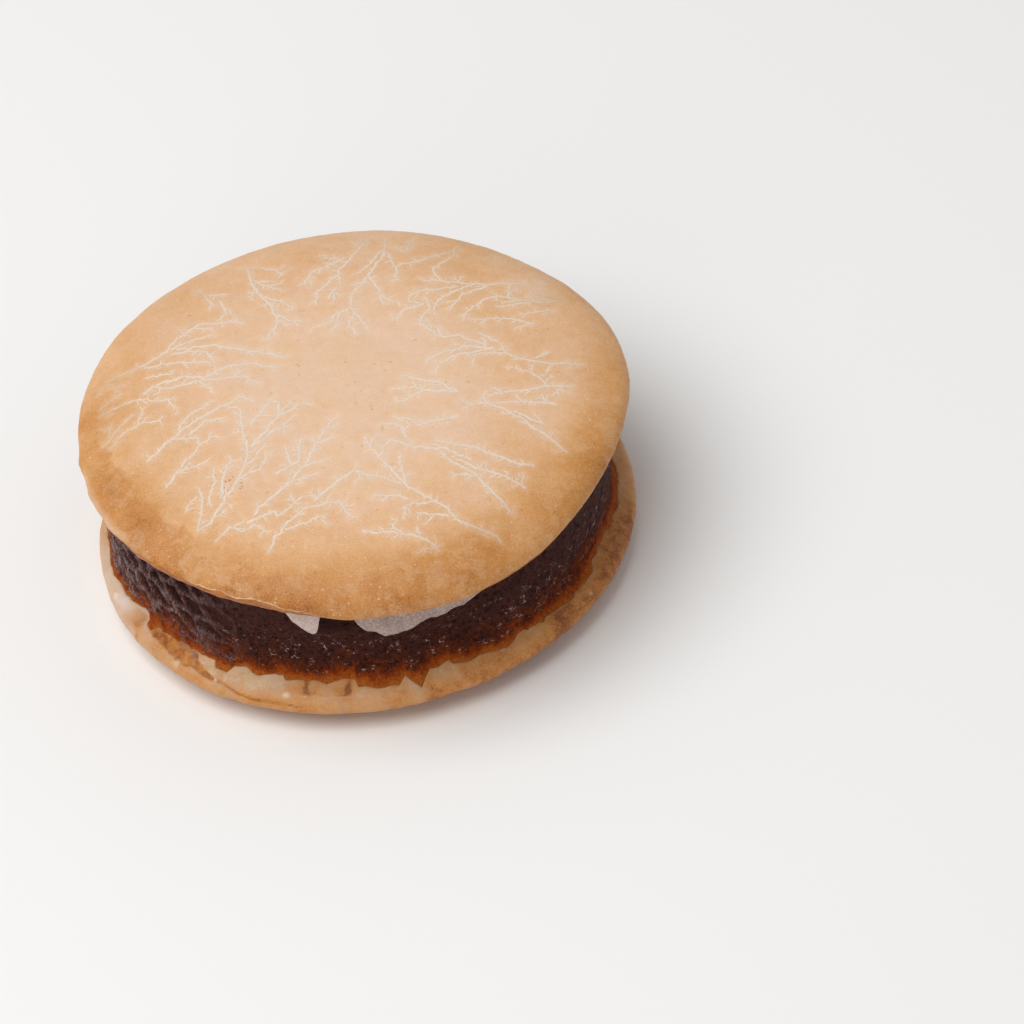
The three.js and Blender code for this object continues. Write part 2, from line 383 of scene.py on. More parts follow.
def row_faces(rows, steps, first=0, upward=True, closed=False):
    """Quads between rings of points listed one after the other. Closed joins the last to the first."""
    row, step = np.meshgrid(np.arange(rows if closed else rows - 1), np.arange(steps), indexing="ij")
    here, there, after = row * steps, (row + 1) % rows * steps, (step + 1) % steps
    quads = np.stack([here + step, here + after, there + after, there + step], axis=-1).reshape(-1, 4)
    return (first + (quads if upward else quads[:, ::-1])).tolist()


def fan_faces(centre, first, steps, upward=True):
    """Triangles from a middle point to a ring, facing up or down."""
    ring = first + np.arange(steps)
    pair = [ring, np.roll(ring, -1)]
    return np.stack([np.full(steps, centre), *(pair if upward else pair[::-1])], axis=1).tolist()


def ring_body(rows):
    """A closed body from rings of points, lowest first, with a middle point at each end."""
    rings, steps = rows.shape[:2]
    ends = [[0, 0, rows[0, :, 2].mean()], [0, 0, rows[-1, :, 2].mean()]]
    points = np.concatenate([rows.reshape(-1, 3), ends])
    last = rings * steps
    faces = row_faces(rings, steps)
    faces += fan_faces(last, 0, steps, upward=False)
    faces += fan_faces(last + 1, last - steps, steps)
    return points, faces


def tube(name, rows):
    """A mesh from rings of points that go once round its section."""
    rings, steps = rows.shape[:2]
    return make_mesh(name, rows.reshape(-1, 3), row_faces(rings, steps, upward=False, closed=True))


def square_disc(half):
    """A unit disc as an even grid: radii, angles, quads, and the outermost points in order of angle."""
    side = np.arange(-half, half + 1)
    i, j = (g.ravel() for g in np.meshgrid(side, side, indexing="ij"))
    ring = np.maximum(abs(i), abs(j))
    wide = abs(i) >= abs(j)
    with np.errstate(divide="ignore", invalid="ignore"):
        across = np.pi / 4 * j / i + np.pi * (i < 0)
        along = np.pi / 2 - np.pi / 4 * i / j + np.pi * (j < 0)
    angle = np.where(ring == 0, 0, np.where(wide, across, along)) % (2 * np.pi)
    width = 2 * half + 1
    corner = (np.arange(2 * half)[:, None] * width + np.arange(2 * half)).ravel()
    quads = np.stack([corner, corner + width, corner + width + 1, corner + 1], axis=1)
    edge = np.flatnonzero(ring == half)
    order = np.argsort(np.round(angle[edge] * 4 * half / np.pi) % (8 * half))
    return ring / half, angle, quads.tolist(), edge[order]


def make_mesh(name, points, faces):
    mesh = bpy.data.meshes.new(name)
    mesh.from_pydata((np.asarray(points) * MM).tolist(), [], faces)
    mesh.shade_smooth()
    return mesh


def points_of(mesh):
    flat = np.empty(len(mesh.vertices) * 3, np.float32)
    mesh.vertices.foreach_get("co", flat)
    return flat.reshape(-1, 3).astype(float) / MM


def set_points(mesh, points):
    mesh.vertices.foreach_set("co", (points * MM).astype(np.float32).ravel())
    mesh.update()


def emboss(mesh, relief):
    """Moves each point along its normal by its relief in millimetres."""
    normals = np.empty(len(mesh.vertices) * 3, np.float32)
    mesh.vertex_normals.foreach_get("vector", normals)
    set_points(mesh, points_of(mesh) + normals.reshape(-1, 3) * np.asarray(relief)[:, None])


def paint(mesh, **layers):
    """Stores a number for each point under each name, for the materials to read."""
    for name, values in layers.items():
        layer = mesh.attributes.new(name, "FLOAT", "POINT")
        layer.data.foreach_set("value", np.asarray(values, np.float32))


def piece(name, mesh, material, replaces=None):
    thing = bpy.data.objects.new(name, mesh)
    bpy.context.scene.collection.objects.link(thing)
    mesh.materials.append(material)
    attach(thing, BODY)
    if replaces:
        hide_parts(replaces)
    return thing


def surface_of(mesh):
    """A tree for finding points on a mesh, in millimetres."""
    polygons = [tuple(p.vertices) for p in mesh.polygons]
    return BVHTree.FromPolygons([tuple(p) for p in points_of(mesh)], polygons)


# Materials -----------------------------------------------------------------------------------


def linear(red, green, blue):
    """Linear colour from the 0 to 255 numbers of a display."""
    values = (c / 255 for c in (red, green, blue))
    return tuple(c / 12.92 if c <= 0.04045 else ((c + 0.055) / 1.055) ** 2.4 for c in values) + (1.0,)


class Finish:
    """A material whose nodes are added by short calls round one Principled shader."""

    def __init__(self, name, values):
        self.material = bpy.data.materials.new(name)
        self.material.use_nodes = True
        self.tree = self.material.node_tree
        self.shader = self.tree.nodes["Principled BSDF"]
        for socket, value in values.items():
            self.shader.inputs[socket].default_value = value
        self.place = self.node("ShaderNodeTexCoord").outputs["Object"]
        self.colour = self.shader.inputs["Base Color"].default_value[:]

    def node(self, kind, inputs=None, **settings):
        made = self.tree.nodes.new(kind)
        for key, value in settings.items():
            setattr(made, key, value)
        for key, value in (inputs or {}).items():
            self.feed(made.inputs[key], value)
        return made

    def feed(self, socket, value):
        if isinstance(value, bpy.types.NodeSocket):
            self.tree.links.new(value, socket)
        else:
            socket.default_value = value

    def noise(self, size, detail=3.0, roughness=0.55, stretch=(1, 1, 1), offset=0.0):
        """Noise whose bumps measure about size millimetres, longer where stretch is over 1."""
        scale = [1 / (size * MM * s) for s in stretch]
        moved = self.node("ShaderNodeMapping", {0: self.place, 1: (offset, offset, offset), 3: scale})
        inputs = {"Vector": moved.outputs[0], "Scale": 1.0, "Detail": detail, "Roughness": roughness}
        return self.node("ShaderNodeTexNoise", inputs).outputs["Fac"]

    def cells(self, size):
        """Distance from the middles of uneven cells of about size millimetres."""
        moved = self.node("ShaderNodeMapping", {0: self.place, 3: [1 / (size * MM)] * 3})
        inputs = {"Vector": moved.outputs[0], "Scale": 1.0}
        return self.node("ShaderNodeTexVoronoi", inputs).outputs["Distance"]

    def layer(self, name):
        return self.node("ShaderNodeAttribute", attribute_name=name).outputs["Fac"]

    def math(self, operation, *values, clamp=False):
        inputs = dict(enumerate(values))
        return self.node("ShaderNodeMath", inputs, operation=operation, use_clamp=clamp).outputs[0]

    def times(self, a, b, *plus, clamp=False):
        """The product of two values, plus a third if there is one."""
        return self.math("MULTIPLY_ADD" if plus else "MULTIPLY", a, b, *plus, clamp=clamp)

    def sway(self, value, *noises):
        """The value moved up and down by each noise, by its amount, and kept from 0 to 1."""
        for noise, amount in noises:
            value = self.times(self.math("SUBTRACT", noise, 0.5), amount, value)
        return self.math("ADD", value, 0.0, clamp=True)

    def remap(self, value, low, high, to_low=0.0, to_high=1.0):
        inputs = {"Value": value, "From Min": low, "From Max": high, "To Min": to_low, "To Max": to_high}
        return self.node("ShaderNodeMapRange", inputs).outputs[0]

    def ramp(self, value, *stops):
        """Colours along a value. A stop is a position and the 0 to 255 numbers of its colour."""
        made = self.node("ShaderNodeValToRGB", {"Fac": value})
        elements = made.color_ramp.elements
        while len(elements) < len(stops):
            elements.new(0.5)
        for element, (position, *colour) in zip(elements, stops):
            element.position = position
            element.color = linear(*colour)
        return made.outputs["Color"]

    def tint(self, amount, colour, blend="MIX"):
        """Lays a colour over the finish's colour so far."""
        if isinstance(colour, tuple):
            colour = linear(*colour)
        inputs = {0: amount, 6: self.colour, 7: colour}
        self.colour = self.node("ShaderNodeMix", inputs, data_type="RGBA", blend_type=blend).outputs[2]

    def bump(self, height, depth, strength):
        """Relief finer than the mesh. Depth is in millimetres."""
        inputs = {"Height": height, "Distance": depth * MM, "Strength": strength}
        return self.node("ShaderNodeBump", inputs).outputs[0]

    def use(self, **sockets):
        """Joins the colour and the named sockets to the shader, and gives the material."""
        for name, value in {"Base Color": self.colour, **sockets}.items():
            self.feed(self.shader.inputs[name.replace("_", " ")], value)
        return self.material


SKIN = {"Subsurface Radius": (1.0, 0.45, 0.2), "Subsurface Scale": 0.0012}


def glazed_finish():
    """Baked biscuit under a satin glaze, with white frost where sugar has set in it."""
    finish = Finish("glazed_biscuit", {**SKIN, "Subsurface Weight": 0.15, "Specular IOR Level": 0.36})
    slow = finish.noise(4.5, 5.0, 0.62)
    middle = finish.noise(1.3, 4.0, 0.62, offset=2.0)
    grain = finish.noise(0.2, 3.0, 0.6)
    bake = finish.layer("bake")
    drift = finish.sway(bake, (slow, 0.17), (middle, 0.26), (grain, 0.55))
    finish.colour = finish.ramp(
        drift, (0.0, 238, 207, 182), (0.22, 234, 195, 161), (0.45, 225, 176, 128),
        (0.7, 208, 150, 90), (0.88, 188, 124, 60), (1.0, 150, 88, 40),
    )
    yellow = finish.remap(finish.noise(6.0, 5.0, 0.65, offset=7.0), 0.42, 0.66, 0.0, 0.42)
    finish.tint(yellow, (255, 243, 214), "MULTIPLY")
    flake = finish.remap(finish.noise(3.0, 7.0, 0.7, offset=11.0), 0.52, 0.58, 0.0, 0.16)
    finish.tint(finish.times(flake, finish.remap(bake, 0.4, 0.7)), (238, 206, 172))
    dots = finish.remap(finish.cells(1.0), 0.05, 0.16, 1.0, 0.0)
    some = finish.remap(finish.noise(5.0, 2.0, offset=15.0), 0.42, 0.58, 0.0, 0.55)
    finish.tint(finish.times(dots, some), (248, 222, 194))
    freckles = finish.remap(finish.noise(0.9, 3.0, 0.6, offset=19.0), 0.66, 0.72, 0.0, 0.42)
    finish.tint(freckles, (198, 130, 60))
    broken = finish.remap(finish.noise(0.6), 0.3, 0.6, 0.72, 1.0)
    white = finish.times(finish.layer("frost"), broken, clamp=True)
    finish.tint(white, (255, 233, 212))
    finish.tint(finish.layer("pale"), (238, 210, 180))
    specks = finish.remap(finish.cells(0.5), 0.2, 0.36, 0.9, 0.0)
    finish.tint(finish.times(specks, finish.layer("specked")), (186, 112, 62))
    ragged = finish.math("SUBTRACT", finish.noise(0.5, offset=23.0), 0.5)
    past = finish.times(ragged, 0.1, finish.layer("past_lip"))
    finish.tint(finish.remap(past, 0.49, 0.52), finish.ramp(middle, (0.35, 142, 80, 32), (0.6, 186, 116, 58)))
    bead = finish.remap(finish.math("ABSOLUTE", finish.math("SUBTRACT", past, 0.47)), 0.006, 0.03, 0.75, 0.0)
    finish.tint(finish.times(bead, finish.layer("beaded")), (246, 222, 192))
    pores = finish.remap(finish.cells(0.62), 0.0, 0.16)
    height = finish.times(pores, 0.12, finish.times(middle, 0.6, finish.times(grain, 0.3)))
    shine = finish.times(white, 0.12, finish.remap(slow, 0.3, 0.7, 0.42, 0.56))
    return finish.use(Roughness=shine, Normal=finish.bump(height, 0.11, 0.6))


def film_finish():
    """Thin set glaze: pale and milky where it is thick, tan where the biscuit shows through."""
    finish = Finish("glaze_film", {**SKIN, "Subsurface Weight": 0.2, "Specular IOR Level": 0.4})
    slow = finish.noise(4.0, 5.0, 0.65, offset=3.0)
    middle = finish.noise(1.1, 4.0, 0.65, offset=5.0)
    grain = finish.noise(0.22, 3.0, 0.6, offset=6.0)
    bake = finish.layer("bake")
    drift = finish.sway(bake, (slow, 0.75), (middle, 0.75), (grain, 0.8))
    finish.colour = finish.ramp(
        drift, (0.0, 214, 178, 141), (0.2, 204, 159, 114), (0.45, 206, 150, 96),
        (0.72, 198, 132, 66), (1.0, 148, 84, 38),
    )
    lilac = finish.remap(finish.noise(3.0, 4.0, 0.6, offset=8.0), 0.52, 0.62, 0.0, 0.3)
    finish.tint(finish.times(lilac, finish.remap(bake, 0.6, 0.8, 1.0, 0.0)), (190, 154, 130))
    amber = finish.ramp(middle, (0.35, 142, 72, 14), (0.55, 184, 112, 26), (0.7, 206, 142, 50))
    finish.tint(finish.layer("stain"), amber)
    finish.tint(finish.layer("lilac"), (224, 204, 194))
    finish.tint(finish.layer("smoke"), (146, 112, 96))
    # Pale: milky smears of thicker glaze, a pale line at the thin step, and a painted highlight along the
    # broken edge.
    finish.tint(finish.layer("pale"), (244, 222, 196))
    height = finish.times(middle, 0.7, finish.times(grain, 0.3))
    shine = finish.remap(slow, 0.3, 0.7, 0.40, 0.54)
    return finish.use(Roughness=shine, Normal=finish.bump(height, 0.12, 0.6))


def crumb_finish():
    """Bare baked biscuit: dry, porous and mottled, stained brown where jam has soaked in."""
    finish = Finish("bare_biscuit", {**SKIN, "Subsurface Weight": 0.12, "Specular IOR Level": 0.3})
    slow = finish.noise(6.0, 5.0, 0.6)
    fine = finish.noise(0.6, 4.0, 0.65)
    drift = finish.sway(finish.layer("bake"), (slow, 1.1), (fine, 0.5))
    finish.colour = finish.ramp(
        drift, (0.0, 226, 190, 146), (0.4, 208, 160, 110), (0.75, 178, 120, 70), (1.0, 134, 80, 42),
    )
    jammy = finish.ramp(fine, (0.3, 120, 56, 16), (0.5, 156, 82, 26), (0.75, 186, 114, 46))
    finish.tint(finish.layer("stain"), jammy)
    height = finish.times(finish.remap(finish.cells(0.55), 0.05, 0.4), 0.5, fine)
    return finish.use(Roughness=0.72, Normal=finish.bump(height, 0.22, 0.8))


def jam_finish():
    """Dark fruit jam: nearly black and wrinkled where thick, red-brown and then amber where it thins."""
    values = {"Specular IOR Level": 0.08, "Coat Roughness": 0.08}
    values |= {"Subsurface Weight": 0.1, "Subsurface Radius": (1.0, 0.25, 0.08), "Subsurface Scale": 0.0008}
    finish = Finish("jam", values)
    slow = finish.noise(2.2, 5.0, 0.65)
    fine = finish.noise(0.5, 5.0, 0.7)
    grain = finish.noise(0.18, 3.0, 0.6)
    drift = finish.sway(finish.layer("thin"), (slow, 0.4), (fine, 0.8), (grain, 0.9))
    finish.colour = finish.ramp(
        drift, (0.0, 67, 35, 31), (0.16, 86, 38, 22), (0.36, 122, 52, 16),
        (0.56, 146, 59, 14), (0.8, 170, 84, 25), (1.0, 188, 110, 44),
    )
    # Painted shade of small cavities: dark specks laid on where the jam is thick.
    cavity_shade = finish.remap(finish.noise(0.6, 4.0, 0.7, offset=21.0), 0.41, 0.49, 0.9, 0.0)
    finish.tint(finish.times(cavity_shade, finish.remap(drift, 0.15, 0.42, 1.0, 0.08)), (36, 10, 7))
    # Painted shade in the hollows of the wrinkles, in pits and in the recess under the top biscuit.
    finish.tint(finish.layer("deep"), (40, 12, 8))
    # Painted sheen: grey-lilac light laid into the colour on the ridges of the dried wrinkles.
    strands = finish.remap(finish.noise(0.24, stretch=(1, 1, 3.5)), 0.42, 0.6, 0.15, 1.0)
    finish.tint(finish.times(finish.layer("bloom"), strands), (180, 152, 149))
    # Painted glints: short pale-pink strokes of highlight in clusters on the wet jam. The same mask gives
    # those places a glossy coat.
    fold = finish.math("ABSOLUTE", finish.math("SUBTRACT", finish.noise(0.9, 2.0, 0.5, offset=9.0), 0.5))
    where = finish.remap(finish.noise(1.5, 2.0, offset=13.0), 0.51, 0.6, 0.0, 0.85)
    specks = finish.remap(finish.noise(0.45, 2.0, offset=17.0), 0.46, 0.6)
    glints = finish.times(finish.remap(fold, 0.004, 0.03, 1.0, 0.0), where)
    wet = finish.times(finish.times(glints, specks), finish.layer("wet"))
    finish.tint(wet, (222, 190, 186))
    normal = finish.bump(finish.times(fine, 0.8, finish.times(grain, 0.4)), 0.42, 0.9)
    shine = finish.remap(fine, 0.35, 0.65, 0.40, 0.58)
    return finish.use(Roughness=shine, Normal=normal, Coat_Weight=wet, Coat_Normal=normal)


def curtain_finish():
    """The glaze's free edge: pale tan on the biscuit, lilac-grey where it hangs before the dark jam."""
    values = {"Subsurface Weight": 0.2, "Subsurface Radius": (0.8, 0.7, 0.7), "Subsurface Scale": 0.0005}
    finish = Finish("hanging_glaze", {**values, "Specular IOR Level": 0.4})
    fine = finish.noise(0.3, 3.0, 0.65)
    slow = finish.noise(2.2, 4.0, 0.6)
    drift = finish.sway(finish.layer("milk"), (fine, 1.4), (slow, 0.6))
    clear = finish.ramp(drift, (0.0, 112, 90, 84), (0.5, 164, 141, 132), (1.0, 214, 192, 182))
    finish.colour = finish.ramp(drift, (0.1, 206, 150, 100), (0.5, 224, 178, 132), (0.9, 236, 204, 168))
    finish.tint(finish.layer("hang"), clear)
    return finish.use(Roughness=0.45, Normal=finish.bump(fine, 0.12, 0.6))


# Top biscuit ---------------------------------------------------------------------------------

CROWN_GRID = 125
TOP_STEPS = 8 * CROWN_GRID
CROWN_PATH = 36.0


def even_crown(share):
    """Share of the rim's radius at an even distance over the crown, from the middle to the rim."""
    bend = np.linspace(math.pi / 2, 0, 2000)
    radius = TOP.radius * np.cos(bend) ** (2 / CROWN_POWER)
    path = path_along(radius, (TOP.crown_height - TOP.rim_height) * np.sin(bend))
    return np.interp(share * path[-1], path, radius) / TOP.radius


def browning(points):
    """How far the top is baked, from 0 to 1: pale in the middle, browner in patches round the shoulder."""
    own_angle, out = polar(points - (*TOP.shift, 0))
    degrees = degrees_of(own_angle)
    shoulder = smoothstep(out, 10, 28)
    tide_angle, tide_radius, tide_crispness = np.array(TIDE_LINE).T
    ragged = out - np.interp(degrees, tide_angle, tide_radius) + 1.8 * roughness_of(points, 4.0, 34, 5, 0.75)
    crisp = np.interp(degrees, tide_angle, tide_crispness)
    soft = smoothstep(out, 25.5, 32)
    rim = soft + crisp * (smoothstep(ragged, -0.2, 0.25) - soft)
    bake = 0.12 + 0.24 * shoulder + rim * read_off(BROWNED_RIM, degrees)
    bake += 0.08 * smoothstep(-points[:, 2], -23.0, -20.5)
    return bake + 0.17 * roughness_of(points, 11.0, 31, 3, 0.55) * (0.25 + shoulder)


def build_top(material):
    share, angle, quads, edge = square_disc(CROWN_GRID)
    radius = TOP.outline(angle) * even_crown(share)
    crown = at(radius, angle, TOP.crown(angle, radius))
    angles = ring_angles(TOP_STEPS)
    distances = np.concatenate([np.arange(1, 20) * 0.13, np.arange(1, 6) * 0.5 + 2.5, [6.5, 9, 12.5]])
    chin = TOP.walk(angles, TOP.outline(angles) * 0.9999, distances)
    points = np.concatenate([crown, chin.reshape(-1, 3), [[0, 0, TOP.face_height]]])
    first, last = len(crown), len(points) - 1
    ring = first + np.arange(TOP_STEPS)
    seam = np.stack([edge, ring, np.roll(ring, -1), np.roll(edge, -1)], axis=1)
    faces = quads + seam.tolist() + row_faces(len(distances), TOP_STEPS, first, upward=False)
    faces += fan_faces(last, last - TOP_STEPS, TOP_STEPS, upward=False)
    points += [*TOP.shift, 0]
    mesh = make_mesh("top_biscuit_glazed", points, faces)

    own = points - (*TOP.shift, 0)
    own_angle, own_radius = polar(own)
    degrees = degrees_of(own_angle)
    below_rim = np.concatenate([(share - 1) * CROWN_PATH, np.repeat(distances, TOP_STEPS), [25]])
    lip_depth = read_off(LIP_DEPTH, degrees)
    lip_depth += 0.12 * round_noise(own_angle, 3.0, 21) + 0.06 * broken_line(own_angle, 0.9, 22)
    torn = 0.22 * broken_line(own_angle, 1.7, 24) + 0.14 * broken_line(own_angle, 0.7, 25)
    past = below_rim - lip_depth - torn * between(degrees, 216, 226, 252, 258)
    crumbled = np.clip(0.6 + 1.1 * round_noise(own_angle, 1.2, 23, 3), 0, 1)
    crumbled *= between(degrees, 230, 235, 256, 260)
    bead = hump(past, -0.1, 0.25) * crumbled
    sag = hump(degrees, 264, 6) * smoothstep(below_rim, 0, 0.8) * (below_rim < 4)
    rim_only = smoothstep(own_radius, 22, 33)
    relief = 0.075 * roughness_of(points, 3.2, 41, 2) + 0.04 * roughness_of(points, 0.95, 43, 2)
    relief -= 0.05 * smoothstep(lattice_noise(points / 0.8, 45), 0.42, 0.75) * (0.3 + 0.7 * rim_only)
    relief += 0.16 * roughness_of(points, 6.5, 48, 2) * (0.35 + 0.65 * rim_only) + 0.04 * bead + 0.3 * sag
    lumpy = 0.34 * roughness_of(points, 3.8, 49, 2) * smoothstep(own_radius, 28, 32)
    relief += lumpy * between(degrees, 172, 184, 216, 236)
    rolls = 0.14 * roughness_of(points, 1.5, 50, 2) * smoothstep(below_rim, -1.4, 0)
    relief += rolls * between(degrees, 190, 200, 250, 262)
    emboss(mesh, relief)
    rolled = between(degrees, 186, 192, 208, 218) * smoothstep(below_rim, -1.6, -0.3)
    specked = 1 - smoothstep(np.hypot(own[:, 0] + 15.0, own[:, 1] + 13.8), 0.8, 1.9)
    past_lip = np.clip(0.5 + past / 4, 0, 1)
    paint(mesh, bake=browning(points), pale=0.4 * rolled, past_lip=past_lip, beaded=crumbled, specked=specked)
    return piece("top_biscuit_glazed", mesh, material, "top_biscuit")


# Sugar ferns ---------------------------------------------------------------------------------

# Stems as they run over the top from the rim inwards, with their main forks: x and y of each point.
FERN_STEMS = (
    # back left
    (-11.1, 27.7, -10.9, 25.2, -9.9, 21.5, -8.4, 17.7, -7.6, 14.5, -8.3, 12.2),
    (-7.75, 16, -6.5, 14.7, -5.1, 13.6),
    (-9.1, 20, -7.7, 19, -5.5, 17),
    (-10.4, 24.1, -9.2, 22.4, -6.7, 20.7),
    (-11, 27, -8.4, 26, -6.4, 24),
    (-18, 24.2, -16.5, 22.5, -16.4, 21.5, -15.4, 19.7),
    (-16.4, 22.2, -13.7, 21.6),
    (-14.6, 20.4, -14.0, 17.7, -14.9, 16.5),
    # left
    (-29.5, 9.2, -24.5, 10.5, -21.6, 12.5, -20.6, 14.3, -17.5, 16.2, -13.7, 15.9, -11.8, 15.2),
    (-21.3, 12.4, -19.7, 13, -15.9, 13.8),
    (-20.5, 12.2, -16, 11.9, -13.3, 10.6, -9.7, 9.2, -6.8, 7.8),
    (-21.2, 11.5, -17.8, 11.3, -16.6, 10.6),
    (-24.7, 10, -20.2, 9.7, -16.4, 8.7),
    (-24.7, 8, -21.1, 7.8),
    (-23.3, 6.2, -19.7, 6.9, -17.3, 6.1, -14.3, 7.6, -11.7, 7.5, -8.1, 6),
    (-25, 5.1, -23.7, 5.9, -21.2, 5, -18, 5.5, -12.5, 5.3, -10.4, 3.6),
    (-18, 5.5, -16.2, 3.6),
    (-30.5, 3.2, -27.7, 4, -25.7, 4.4, -22.7, 3.1, -21.1, 3.3),
    (-30.5, 4.4, -28.2, 6),
    (-30.7, 7.2, -29.2, 8.7, -27.5, 7.5),
    (-30.5, -2.7, -28.5, -0.4, -26.4, 1.9),
    (-29.7, -3.5, -27.6, -1.3, -25.7, -0.1, -23, -0.4),
    # front left
    (-25, -7, -22, -4, -20, -2.4, -16, 0, -12.4, 1.6),
    (-20.9, -2.6, -19.5, -0.1, -18.2, 0.5, -16.8, 1.6),
    (-19.7, -3.7, -17.5, -1.9, -15.2, -1.9),
    (-22, -4, -18.5, -4.5, -18.4, -5.5, -16.4, -4.6),
    (-22.9, -12.1, -21.4, -9.7, -19.5, -7.4, -18.4, -5.7),
    (-21.4, -9.9, -17.5, -8.7),
    (-19.5, -19.9, -17.7, -19, -16.7, -16.7, -14.6, -13.8, -13, -10, -12.6, -7.5, -13.2, -4.5,
     -13.1, -0.5, -15.1, 0.4),
    (-12.2, -7.4, -10.7, -5.5, -8.4, -2.5, -8.4, -0.4, -9.4, 0),
    (-12, -3.7, -11, -2, -9.4, 0, -9, 0.8),
    (-8.4, -2.5, -5.6, -1.2, -4.2, -1.6),
    (-11.7, -7.1, -9, -5, -7.1, -4.6),
    (-13, -10.4, -11.7, -9.2, -10.4, -7.2),
    (-14, -12.7, -12, -11.7, -11, -10.9, -10.2, -9),
    (-20.7, -16.7, -20.1, -15.2, -19.2, -14.5),
    (-19.5, -19.7, -18.7, -17.5, -18.9, -13),
    (-17.6, -16.5, -17.7, -15, -16.9, -12.5, -16.9, -10.2),
    (-16.4, -15.5, -16, -12.5, -14.7, -8.7),
    (-12.5, -19, -10.5, -16.5, -8.6, -15.2, -6, -12, -4.2, -8.2, -2.1, -4.6),
    (-8.5, -14.6, -4.4, -13.5),
    (-6, -12, -2.9, -11.4),
    (-4.2, -8.4, -2, -7.7),
    (-9.5, -12.7, -6.6, -11, -6.1, -7),
    (-7.6, -11.4, -8, -8.2),
    (-17.5, -21.9, -15.5, -20.2, -14.2, -21.1, -12.4, -20.4),
    (-13.5, -19.9, -10.2, -19, -9.7, -19.7, -6.5, -17.1),
    # front
    (-11.2, -25, -10.2, -22.9, -8.6, -21, -6.2, -19, -3.5, -18.6, -2, -18.9),
    (-9, -22, -4.2, -20.6),
    (-5.2, -18.2, -3.5, -16.5, 0, -14, 2, -15.2, 5.7, -17),
    (9.1, -27.9, 7, -25.7, 3.5, -24.6, 0.1, -23.7),
    (6.9, -25.6, 6.7, -24.2),
    (5.2, -25.2, 4, -23.9, 4.5, -22.5),
    (16.5, -27, 15, -25.5, 12, -24.1, 10, -21.2, 8.2, -19.7, 5.6, -16.9, 3.2, -12.6, 1.5, -8.5),
    (5.9, -17, 5.5, -12.6),
    (9, -20.5, 6.5, -20.6, 5.1, -21.2),
    (6, -19.7, 3.2, -18.7, 1.9, -18.6),
    (10.7, -23, 6.9, -22.1),
    # right
    (13.2, -6.9, 8.4, -7.4, 6.9, -6.1, 5.7, -6),
    (14.1, -14.6, 11, -12, 7.4, -11.5, 4.7, -9.6, 3.7, -10.7, 3.1, -12.4),
    (6.6, -9.6, 6.4, -7.7, 5.4, -6.7),
    (13.5, -2.5, 11, -0.5, 8.7, 0.7, 6.9, 1.5),
    (13.5, -2.7, 10.5, -2.1, 8.7, -1, 5.5, -0.6),
    (9.2, -1.7, 5.9, -3.2),
    (17.7, 5.1, 14.5, 7.7, 12.5, 7.7, 9.7, 10.7, 11.5, 13.7),
    (18.6, 4.6, 15.5, 5.5, 12, 4.5, 10.1, 3.7),
    (18.2, 4.5, 14, 4.1, 11.5, 2.5, 11.1, 1),
    (24, 8.7, 21, 9.9, 18.5, 10.4, 17.2, 9.5),
    (19.2, 5.7, 17, 7.7),
    # back right
    (23.7, 17, 19, 17.1, 15, 18.2, 10.5, 19.4),
    (17.5, 17.7, 14.5, 16.2, 12.5, 15, 11.7, 12.2),
    (15.2, 17.2, 11.5, 17.1, 8.9, 16.5, 8.7, 15.5, 10.7, 14.5),
    (10.7, 14.5, 8.2, 13.9, 7, 12),
    (19, 17, 15.7, 15.7, 13.5, 13.1),
    (28.2, 13.2, 23, 13.7, 19.2, 14.6, 16.5, 12.9, 15.2, 10.4),
    (21.2, 14.4, 21.5, 16.7, 22.5, 17.1),
    (28.2, 13.2, 22.7, 13, 19.6, 12.4),
    (27, 11.2, 23.2, 10.9),
    (28, 13.7, 24.7, 15.1, 23.7, 16),
    (6.9, 30, 6.2, 25.2, 3.6, 20.5, 1.7, 17.7, 1.6, 15.7, 2, 14.4, 1.1, 13, 1.9, 10.4),
    (2, 14.4, 3.4, 11.1),
    (1.6, 15.5, -0.7, 14.6, -1.1, 13.2),
    (4.2, 21.5, 5.2, 18.2, 5.6, 15.4),
    (6.4, 26.7, 4.9, 24.5, 3, 22.2),
    (6.5, 26.5, 7.5, 23.5, 7.6, 19.7),
    (10.5, 29.2, 8.9, 25.7, 7.7, 27.7),
    # back
    (4.6, 30, 3, 27.2, 0.6, 23.2, 0.4, 20.5),
    (1.4, 25.7, -3, 23.6, -4, 21.5),
    (0.5, 22.4, -2.5, 19.5, -2.7, 16.9),
    (0, 19.7, -1.2, 18),
    (15.7, 26.7, 14.7, 23.7, 12.2, 21.2, 13.2, 18.5),
    (15.1, 25.5, 10.5, 23.4, 7.9, 22.9),
)

# Stems on the side that the other half hides, grown from these angles on the rim.
HIDDEN_STEMS = (-52, -44, -37, -29, -22, -14, -7, 1, 7)

# No crystal that grows by draws comes this near the middle of the crown, or this far from the axis.
BARE_CENTRE, BARE_MIDDLE, BARE_RIM = (0, 2), 5.0, 31.5
FERN_STEP = 0.2


